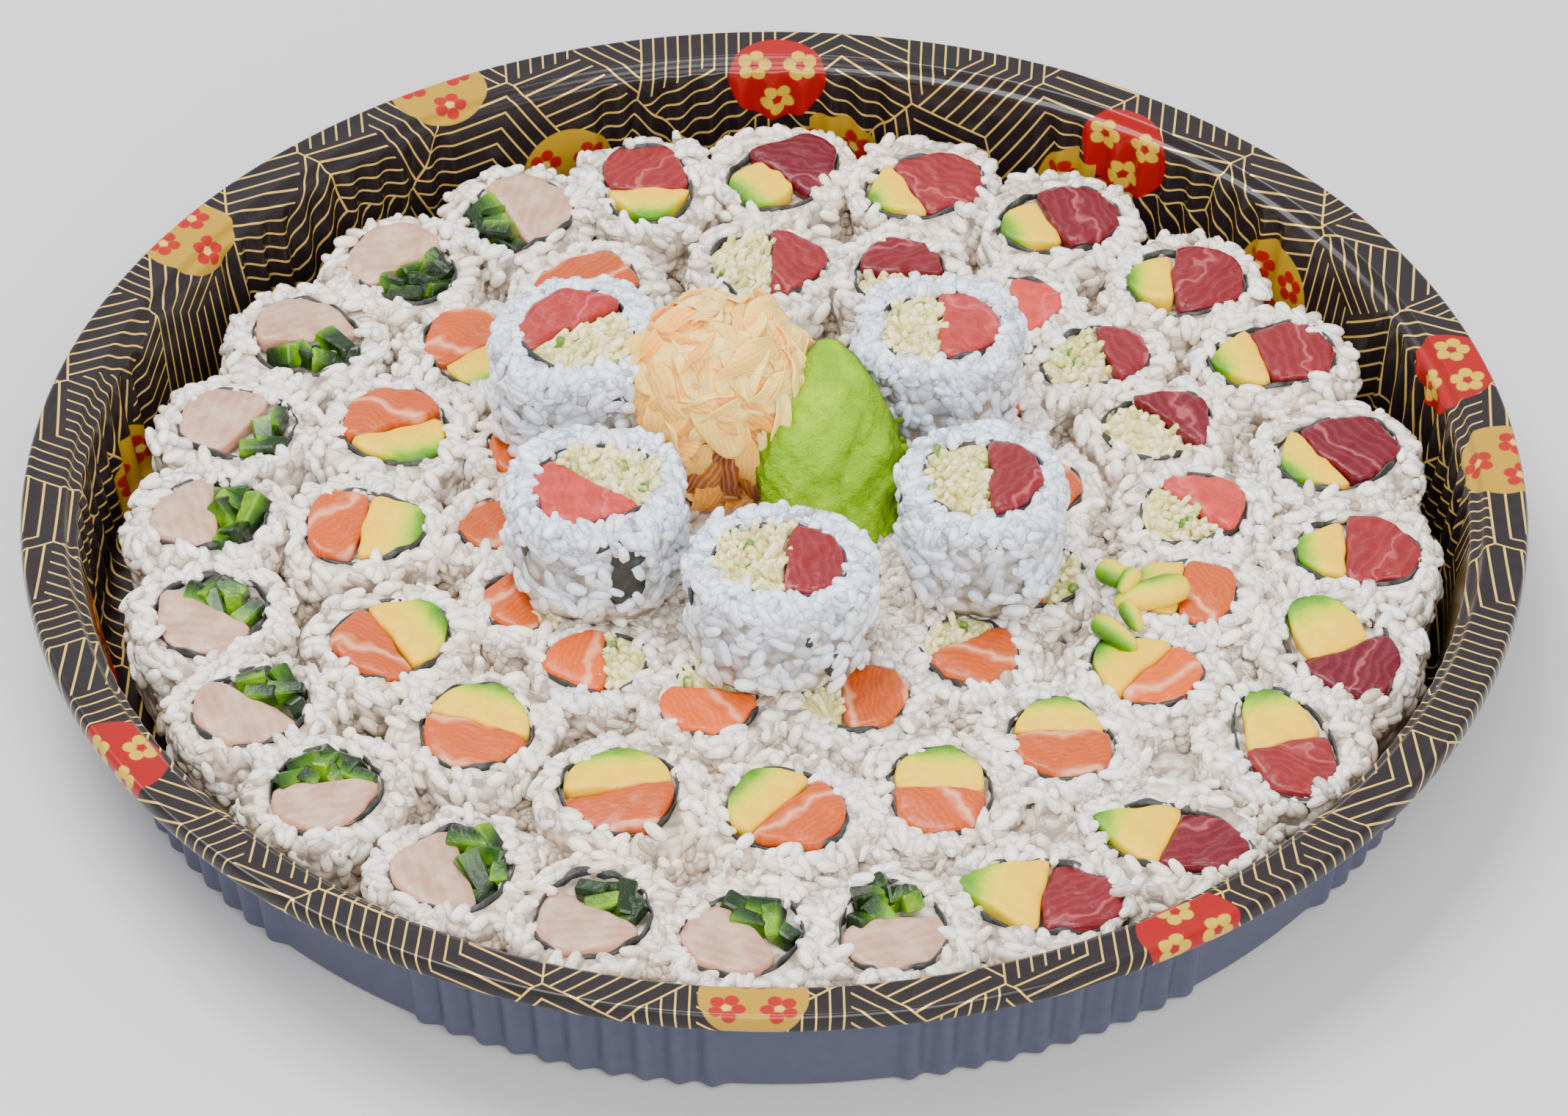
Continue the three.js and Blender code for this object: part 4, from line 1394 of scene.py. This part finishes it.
def build_cucumber(settings, material):
    """Fine shreds packed on end beside the fish, over a bed of the same."""
    shape, faces = block_shape()
    points, tones, pads = [], [], []
    for roll, chance, fish_cut in rolls_with("cucumber"):
        cut = -fish_cut
        toward = roll.fish + math.pi
        pads.append(pad_points(roll, toward, cut + 0.3 * MM, -0.9 * MM, chance, 9.0, 0.03))
        places = spread_in_part(roll, toward, cut + 0.5 * MM, 2.0 * MM, chance, 1.4 * MM)
        number = len(places)
        lean = chance.normal(0, 0.5, 2)
        tip = chance.normal(0, 0.7, (number, 2)) + lean
        upright = np.concatenate([tip, np.ones((number, 1))], 1)
        axes = right_handed(upright, chance.normal(0, 1, (number, 3)))
        half = settings.shred_width / 2
        sizes = np.stack([half * chance.uniform(2.8, 4.4, number),
                          half * chance.uniform(0.7, 1.2, number),
                          half * chance.uniform(0.6, 0.95, number)], -1)
        height = roll.top - 2.1 * MM + chance.normal(0, 0.5 * MM, number)
        spots = np.concatenate([places + roll.centre, height[:, None]], 1)
        points.append(place_many(shape, spots, axes, sizes))
        tones.append(np.repeat(chance.uniform(0, 1, number) ** 2.2 * 0.95, len(shape)))
    total = sum(len(part) for part in points) // len(shape)
    build_pads("cucumber_beds", pads, np.full(len(pads), 0.5), material)
    return make_piece("cucumber_shreds", np.concatenate(points),
                      repeat_faces(faces, total, len(shape)), material, (),
                      {"tone": np.concatenate(tones)})


def build_pepper(material):
    """Chunks of green pepper beside the white fish, each with skin on its outer side."""
    shape, faces = block_shape()
    points, skins = [], []
    for roll, chance, fish_cut in rolls_with("green_pepper"):
        toward = roll.fish + math.pi
        places = spread_in_part(roll, toward, 1.2 * MM - fish_cut, 4.7 * MM, chance, 2.6 * MM)
        number = len(places)
        bearing = np.arctan2(places[:, 1], places[:, 0]) + math.pi / 2 + chance.normal(0, 0.7, number)
        lying = polar(bearing, 1.0, chance.normal(0, 0.35, number))
        axes = right_handed(lying, chance.normal(0, 0.4, (number, 3)) + [0, 0, 1])
        sizes = np.stack([chance.uniform(3.6, 5.0, number), chance.uniform(2.0, 2.9, number),
                          chance.uniform(1.9, 2.8, number)], -1) * MM
        height = roll.top - 1.1 * MM + chance.normal(0, 0.6 * MM, number)
        spots = np.concatenate([places + roll.centre, height[:, None]], 1)
        chunk = place_many(shape, spots, axes, sizes, chance.uniform(-0.25, 0.25, number))
        points.append(chunk)
        outward = np.concatenate([places, np.zeros((number, 1))], 1)
        outward /= np.linalg.norm(outward, axis=1, keepdims=True)
        outward = outward + chance.normal(0, 0.5, (number, 3))
        away = (chunk.reshape(number, -1, 3) - spots[:, None]) / (4 * MM)
        skins.append(np.clip(0.48 + 0.75 * np.einsum("nvk,nk->nv", away, outward), 0, 1).ravel())
    total = sum(len(part) for part in points) // len(shape)
    return make_piece("green_pepper_chunks", np.concatenate(points),
                      repeat_faces(faces, total, len(shape)), material, (),
                      {"skin": np.concatenate(skins)}, smooth=False)


# ---------------------------------------------------------------- ginger

GINGER_LOW, GINGER_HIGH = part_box("ginger")
GINGER_AXIS = np.array([-13, 30, 0]) * MM
GOLDEN_TURN = math.pi * (3 - math.sqrt(5))


def ginger_heap(height, turn):
    """How far the heap reaches from its upright axis: a ball above, a narrower stack
    below it, and a spread behind that grows towards the floor."""
    levels = np.array([2.3, 12, 24, 34, 44, 53, 61, 66, 69]) * MM
    ball = np.interp(height, levels, np.array([17, 20, 21, 22.4, 23.4, 22, 16.5, 9.5, 1]) * MM)
    spread = np.interp(height, levels, np.array([24, 22, 16, 7, 2, 0, 0, 0, 0]) * MM)
    return ball + spread * np.maximum(0, np.sin(turn)) ** 3


def build_ginger(settings):
    """A core and thin slices on it, every second one broad. Each slice is a two-sided
    disc whose long axis runs mostly down the heap: bent to the heap, cupped across,
    folded along its length by a sine of its width, and ruffled round its rim. The
    slices follow each other up the heap, each a golden turn from the one before."""
    material = ginger_material(settings)
    sides, rings = 40, 14
    turn = full_turns(sides)
    height = np.linspace(GINGER_LOW.z + 0.4 * MM, GINGER_HIGH.z - 4 * MM, rings)
    wide = ginger_heap(height[:, None], turn) - 3.0 * MM
    wide = np.maximum(wide * (1 + 0.04 * np.sin(5 * turn + 130 * height[:, None])), 2 * MM)
    core = (polar(turn, wide, height[:, None]) + GINGER_AXIS).reshape(-1, 3)
    core = np.concatenate([core, GINGER_AXIS + [[0, 0, height[0]], [0, 0, height[-1]]]])
    # The core's low tone gives it the brown of the ramp: painted shade in the gaps between the slices.
    make_piece("ginger_core", core, skin_faces(rings, sides), material, (),
               {"tone": np.full(len(core), -0.1), "piece": core[:, [0, 2]]})

    chance = np.random.default_rng(55)
    count = settings.slices
    broad = np.arange(count) % 2 == 0
    order = (np.arange(count) + 0.5) / count
    level = GINGER_LOW.z + 6 * MM + (GINGER_HIGH.z - GINGER_LOW.z - 9 * MM) * order ** 0.75
    bearing = np.arange(count) * GOLDEN_TURN + chance.normal(0, 0.25, count)
    sunk = np.where(broad, chance.uniform(1.0, 2.4, count), chance.uniform(0.2, 2.2, count))
    reach = ginger_heap(level, bearing) - sunk * MM
    step = 0.5 * MM
    slope = (ginger_heap(level + step, bearing) - ginger_heap(level - step, bearing)) / (2 * step)
    out = polar(bearing, 1.0, -slope)
    out /= np.linalg.norm(out, axis=1, keepdims=True)
    spots = polar(bearing, reach, level) + GINGER_AXIS
    round_way = polar(bearing + math.pi / 2)
    up_way = np.cross(out, round_way)
    swing = chance.normal(0, 0.8, count)[:, None]
    long_axis = np.cos(swing) * up_way + np.sin(swing) * round_way
    lean = np.where(broad, 0.26, 0.42)[:, None]
    axes = right_handed(long_axis, np.cross(out + lean * chance.normal(0, 1, (count, 3)), long_axis))
    half_long = np.where(broad, chance.uniform(9, 13, count), chance.uniform(6.5, 11, count))
    half_wide = np.where(broad, chance.uniform(6, 9, count), chance.uniform(2.4, 5.0, count))
    half_long, half_wide = half_long[:, None] * MM, half_wide[:, None] * MM

    shares = [0.25, 0.5, 0.75, 0.93, 1.0, 1.0, 0.93, 0.75, 0.5, 0.25]
    round_steps = 26
    share, angle, side = two_sided_disc(shares, [-1, -1, -1, -1, -0.4, 0.4, 1, 1, 1, 1], round_steps)
    phase = chance.uniform(0, 6, (count, 4))[:, :, None]
    x = half_long * share * np.cos(angle) * (1 + 0.10 * np.sin(2 * angle + phase[:, 0]))
    y = half_wide * share * np.sin(angle) * (1 + 0.12 * np.sin(3 * angle + phase[:, 1]))
    bend = chance.uniform(0.016, 0.032, count)[:, None] / MM
    cup = chance.normal(0.02, 0.03, count)[:, None] / MM
    folds = 0.6 * MM * np.sin(y / (1.15 * MM) + x / (5 * MM) + phase[:, 2]) * (0.4 + 0.6 * share)
    ruffle = 0.8 * MM * share ** 4 * np.sin(5 * angle + phase[:, 3])
    z = -bend * x * x - cup * y * y + folds + ruffle + side * settings.thickness / 2
    local = np.stack([x, y, z], -1)
    points = (spots[:, None] + local @ axes).reshape(-1, 3)
    points[:, 2] = np.clip(points[:, 2], GINGER_LOW.z, GINGER_HIGH.z)
    faces = repeat_faces(skin_faces(len(shares), round_steps), count, local.shape[1])
    # Painted shade by height: slices low on the heap get a low tone, so brown and peach, and those high
    # up the cream; a random part varies each slice.
    tone = np.clip(0.05 + 0.6 * (level - 0.022) / 0.04 + chance.normal(0, 0.22, count), -0.15, 1)
    flat = np.stack([y, x], -1) + chance.uniform(-1, 1, (count, 1, 2))
    return make_piece("ginger_slices", points, faces, material, ["ginger"],
                      {"tone": np.repeat(tone, local.shape[1]), "piece": flat.reshape(-1, 2)})


# ---------------------------------------------------------------- wasabi

WASABI_LEAN = math.radians(52)
WASABI_FOOT = np.array([0.0, -6.0, 2.3]) * MM
UP_SLOPE = np.array([0.0, math.cos(WASABI_LEAN), math.sin(WASABI_LEAN)])
OFF_BACK = np.array([0.0, -UP_SLOPE[2], UP_SLOPE[1]])


# Where crumbs cling: how far up the slope and to the right, how far they spread each
# way, all in mm, and how many there are.
CRUMB_PLACES = np.array([(39, 30.4, 3.4, 0.84, 30), (31, 29.2, 4.0, 0.84, 10), (56, 3.0, 1.8, 1.4, 9)])


def build_wasabi_crumbs(material):
    """Small crumbs that cling to the right edge and to the notch on the left."""
    chance = np.random.default_rng(23)
    where = np.repeat(CRUMB_PLACES[:, :4], CRUMB_PLACES[:, 4].astype(int), 0)
    count = len(where)
    slope = where[:, 0] + chance.normal(0, 1, count) * where[:, 2]
    aside = where[:, 1] + chance.normal(0, 1, count) * where[:, 3]
    out = chance.uniform(5, 13, count)
    spots = (WASABI_FOOT + slope[:, None] * MM * UP_SLOPE + out[:, None] * MM * OFF_BACK
             + aside[:, None] * MM * [1, 0, 0])
    axes = right_handed(chance.normal(0, 1, (count, 3)), chance.normal(0, 1, (count, 3)))
    sizes = chance.uniform(0.8, 1.9, (count, 1)) * chance.uniform(0.75, 1.2, (count, 3)) * MM
    shape = lens_shape([-0.8, -0.3, 0.3, 0.8], 7, 2.4)
    # Each crumb gets a random share of the face's painted light.
    return make_copies("wasabi_crumbs", shape, spots, axes, sizes, material,
                       {"face": chance.uniform(0.0, 0.8, count)})


def build_wasabi(settings):
    """A leaf of paste that leans back on the ginger.

    Each level up the slope has a left edge, a right edge and a thickness. Its section is
    a rounded D: a power of the sine and cosine makes the face flat and its edges round.
    Slow waves, a notch, two crumbs and a crease make it uneven."""
    levels = np.array([0, 6, 16, 24.5, 30, 36, 41, 47.6, 54, 58, 63.7, 67.2]) * MM
    left = np.array([6, 4, 0.5, -1.8, -3, -4.4, -4.1, -2, 0, 4.6, 6.4, 10]) * MM
    right = np.array([27, 28, 28, 29.1, 28.4, 29.5, 30.2, 29.2, 26, 24, 20, 16]) * MM
    thick = np.array([8, 11, 14, 15.6, 16.4, 17, 16.8, 15.4, 13.6, 12, 9, 5.5]) * MM
    rows, sides = 70, 96
    slope = np.linspace(0.6 * MM, 67.6 * MM, rows)[:, None]
    turn = full_turns(sides)[None]
    left, right, depth = (np.interp(slope, levels, row) for row in (left, right, thick))
    middle, half = (left + right) / 2, (right - left) / 2
    sine, cosine = np.sin(turn), np.cos(turn)
    wide = np.sign(sine) * np.abs(sine) ** 0.62
    deep = 0.5 + 0.5 * np.sign(cosine) * np.abs(cosine) ** 0.55
    lump = (0.022 * np.sin(5 * turn + 260 * slope) + 0.018 * np.sin(9 * turn - 420 * slope)
            + 0.014 * np.sin(14 * turn + 900 * slope) + 0.010 * np.sin(23 * turn - 1500 * slope))
    x = middle + half * wide * (1 + lump)
    out = depth * deep * (1 + lump)

    def bulge(at_slope, at_x, radius, amount):
        distance = np.hypot(slope - at_slope * MM, x - at_x * MM)
        return amount * MM * np.exp(-(distance / (radius * MM)) ** 2)

    front = deep > 0.55
    facets = (0.55 * np.sin(x * 330 + slope * 210) * np.sin(slope * 290 - 1.0)
              + 0.30 * np.sin(x * 620 - slope * 540 + 2.0) + 0.16 * np.sin(x * 1300 + slope * 1700)) * MM
    crease = np.abs(x - (18 + 3 * np.sin(slope * 150)) * MM)
    groove = 0.8 * MM * np.exp(-(crease / (0.7 * MM)) ** 2) * ((slope > 20 * MM) & (slope < 52 * MM))
    out = out + facets * deep
    out = out + front * (bulge(41, 28, 3, 1.2) + bulge(34, 27, 2.6, 1.2) - bulge(57, 5, 3, 1.6)
                         + bulge(22, 6, 6, 1.0) - bulge(30, 14, 7, 0.7) - groove)
    x = x + bulge(41, 30, 2.5, 1.2) + bulge(34, 29, 2.2, 1.0)
    points = (WASABI_FOOT + slope[..., None] * UP_SLOPE + out[..., None] * OFF_BACK)
    points[..., 0] += x
    ends = [points[0].mean(0), points[-1].mean(0) + 1.0 * MM * UP_SLOPE]
    # Painted light: the face share is 1 on the front face, which shows bright, and falls round the edges
    # and in the crease, where the deep green stands for shade.
    face = deep ** 3 * np.ones_like(x) - 0.5 / MM * groove
    face = np.concatenate([face.ravel(), [0.0, 0.3]])
    points = np.concatenate([points.reshape(-1, 3), ends])
    points[:, 2] = np.maximum(points[:, 2], WASABI_FOOT[2])
    material = wasabi_material(settings)
    build_wasabi_crumbs(material)
    return make_piece("wasabi_leaf", points, skin_faces(rows, sides), material,
                      ["wasabi"], {"face": face})


# ---------------------------------------------------------------- stage

CAMERA_ELEVATION = 0.7122
CAMERA_PITCH = 0.72173
CAMERA_YAW = 0.0017
CAMERA_ROLL = 0.00241


def build_floor(settings):
    """A wide flat floor under the tray."""
    half = 4.0
    mesh = bpy.data.meshes.new("floor")
    mesh.from_pydata([(-half, -half, 0), (half, -half, 0), (half, half, 0), (-half, half, 0)], [],
                     [(0, 1, 2, 3)])
    mesh.materials.append(floor_material(settings))
    floor = bpy.data.objects.new("floor", mesh)
    bpy.context.scene.collection.objects.link(floor)


def add_light(name, place, size, power):
    """A square soft light that faces the tray."""
    light = bpy.data.lights.new(name, "AREA")
    light.shape = "SQUARE"
    light.size = size
    light.energy = power
    lamp = bpy.data.objects.new(name, light)
    lamp.location = place
    lamp.rotation_euler = (-Vector(place)).to_track_quat("-Z", "Y").to_euler()
    bpy.context.scene.collection.objects.link(lamp)


def add_sky(strength):
    """Plain pale light from all round."""
    world = bpy.data.worlds.new("soft room")
    world.use_nodes = True
    background = world.node_tree.nodes["Background"]
    background.inputs["Color"].default_value = colour(236, 238, 242)
    background.inputs["Strength"].default_value = strength
    bpy.context.scene.world = world


def add_camera(settings):
    """The camera looks down over the tray's front edge."""
    lens = bpy.data.cameras.new("view")
    lens.lens = settings.lens
    camera = bpy.data.objects.new("view", lens)
    camera.location = (0.0, -math.cos(CAMERA_ELEVATION) * settings.distance,
                       math.sin(CAMERA_ELEVATION) * settings.distance + RIM_HEIGHT)
    turned = (Matrix.Rotation(-CAMERA_YAW, 3, "Z") @ Matrix.Rotation(math.pi / 2 - CAMERA_PITCH, 3, "X")
              @ Matrix.Rotation(CAMERA_ROLL, 3, "Z"))
    camera.rotation_euler = turned.to_euler()
    bpy.context.scene.collection.objects.link(camera)
    bpy.context.scene.camera = camera


# ---------------------------------------------------------------- operators


class SUSHI_OT_tray(bpy.types.Operator):
    """Makes the printed plastic tray"""

    bl_idname = "sushi.tray"
    bl_label = "Printed tray"

    def execute(self, context):
        build_tray(context.scene.sushi_tray)
        return {"FINISHED"}


class SUSHI_OT_rice(bpy.types.Operator):
    """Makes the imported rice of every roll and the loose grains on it"""

    bl_idname = "sushi.rice"
    bl_label = "Rice"

    def execute(self, context):
        settings = context.scene.sushi_rice
        bed, grains = rice_bed_material(settings), rice_material(settings)
        for seed, (group, rolls) in enumerate(ROLLS.items()):
            raised = group == "raised_roll"
            count = settings.raised_grains if raised else settings.lower_grains
            depth = 26 * MM if raised else 14 * MM
            build_rice_bed(group, rolls, bed)
            build_rice_grains(group, rolls, count, depth, settings, grains, seed + 11)
        build_rice_between(settings, grains, bed)
        return {"FINISHED"}


class SUSHI_OT_seaweed(bpy.types.Operator):
    """Makes the seaweed sheet inside every roll"""

    bl_idname = "sushi.seaweed"
    bl_label = "Seaweed"

    def execute(self, context):
        build_seaweed(context.scene.sushi_seaweed)
        return {"FINISHED"}


class SUSHI_OT_fish(bpy.types.Operator):
    """Makes the tuna, the salmon and the white fish"""

    bl_idname = "sushi.fish"
    bl_label = "Fish"

    def execute(self, context):
        settings = context.scene.sushi_fillings
        build_fish("tuna", tuna_material(settings), 12.0, 0.06)
        build_fish("salmon", salmon_material(settings), 10.0, 0.05)
        build_fish("white_fish", white_fish_material(settings), 7.0, 0.045)
        return {"FINISHED"}


class SUSHI_OT_greens(bpy.types.Operator):
    """Makes the avocado, the green pepper and the cucumber"""

    bl_idname = "sushi.greens"
    bl_label = "Avocado, pepper and cucumber"

    def execute(self, context):
        settings = context.scene.sushi_fillings
        flesh = avocado_material(settings)
        build_avocado(flesh)
        build_avocado_bits(flesh)
        build_pepper(pepper_material(settings))
        build_cucumber(settings, cucumber_material(settings))
        return {"FINISHED"}


class SUSHI_OT_ginger(bpy.types.Operator):
    """Makes the heap of pickled ginger"""

    bl_idname = "sushi.ginger"
    bl_label = "Pickled ginger"

    def execute(self, context):
        build_ginger(context.scene.sushi_ginger)
        return {"FINISHED"}


class SUSHI_OT_wasabi(bpy.types.Operator):
    """Makes the leaf of wasabi"""

    bl_idname = "sushi.wasabi"
    bl_label = "Wasabi"

    def execute(self, context):
        build_wasabi(context.scene.sushi_wasabi)
        return {"FINISHED"}


class SUSHI_OT_stage(bpy.types.Operator):
    """Makes the floor, the lights and the camera"""

    bl_idname = "sushi.stage"
    bl_label = "Stage"

    def execute(self, context):
        settings = context.scene.sushi_stage
        build_floor(settings)
        add_light("window", (-0.6, 0.5, 2.0), 1.2, 62.0)
        add_light("fill", (0.4, -1.7, 1.5), 1.6, 66.0)
        add_sky(1.4)
        add_camera(settings)
        return {"FINISHED"}


OPERATORS = (
    SUSHI_OT_tray, SUSHI_OT_rice, SUSHI_OT_seaweed, SUSHI_OT_fish,
    SUSHI_OT_greens, SUSHI_OT_ginger, SUSHI_OT_wasabi, SUSHI_OT_stage,
)


class SUSHI_PT_pieces(bpy.types.Panel):
    """Lists the tray's pieces and their settings"""

    bl_idname = "SUSHI_PT_pieces"
    bl_label = "Sushi tray"
    bl_space_type = "VIEW_3D"
    bl_region_type = "UI"
    bl_category = "Sushi tray"

    def draw(self, context):
        for operator in OPERATORS:
            self.layout.operator(operator.bl_idname)
        for label, kind in SETTINGS.items():
            box = self.layout.box()
            for name in kind.__annotations__:
                box.prop(getattr(context.scene, label), name)


SETTINGS = {
    "sushi_tray": TraySettings,
    "sushi_rice": RiceSettings,
    "sushi_seaweed": SeaweedSettings,
    "sushi_fillings": FillingSettings,
    "sushi_ginger": GingerSettings,
    "sushi_wasabi": WasabiSettings,
    "sushi_stage": StageSettings,
}


def register():
    for kind in (*SETTINGS.values(), *OPERATORS, SUSHI_PT_pieces):
        bpy.utils.register_class(kind)
    for label, kind in SETTINGS.items():
        setattr(bpy.types.Scene, label, bpy.props.PointerProperty(type=kind))


def unregister():
    for label in SETTINGS:
        delattr(bpy.types.Scene, label)
    for kind in (SUSHI_PT_pieces, *OPERATORS, *SETTINGS.values()):
        bpy.utils.unregister_class(kind)


def main():
    """Registers the add-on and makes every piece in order."""
    register()
    make_fine_relief()
    make_fibres()
    make_gold_lattice()
    make_medallion()
    bpy.ops.sushi.tray()
    bpy.ops.sushi.rice()
    bpy.ops.sushi.seaweed()
    bpy.ops.sushi.fish()
    bpy.ops.sushi.greens()
    bpy.ops.sushi.ginger()
    bpy.ops.sushi.wasabi()
    bpy.ops.sushi.stage()


if __name__ == "__main__":
    main()
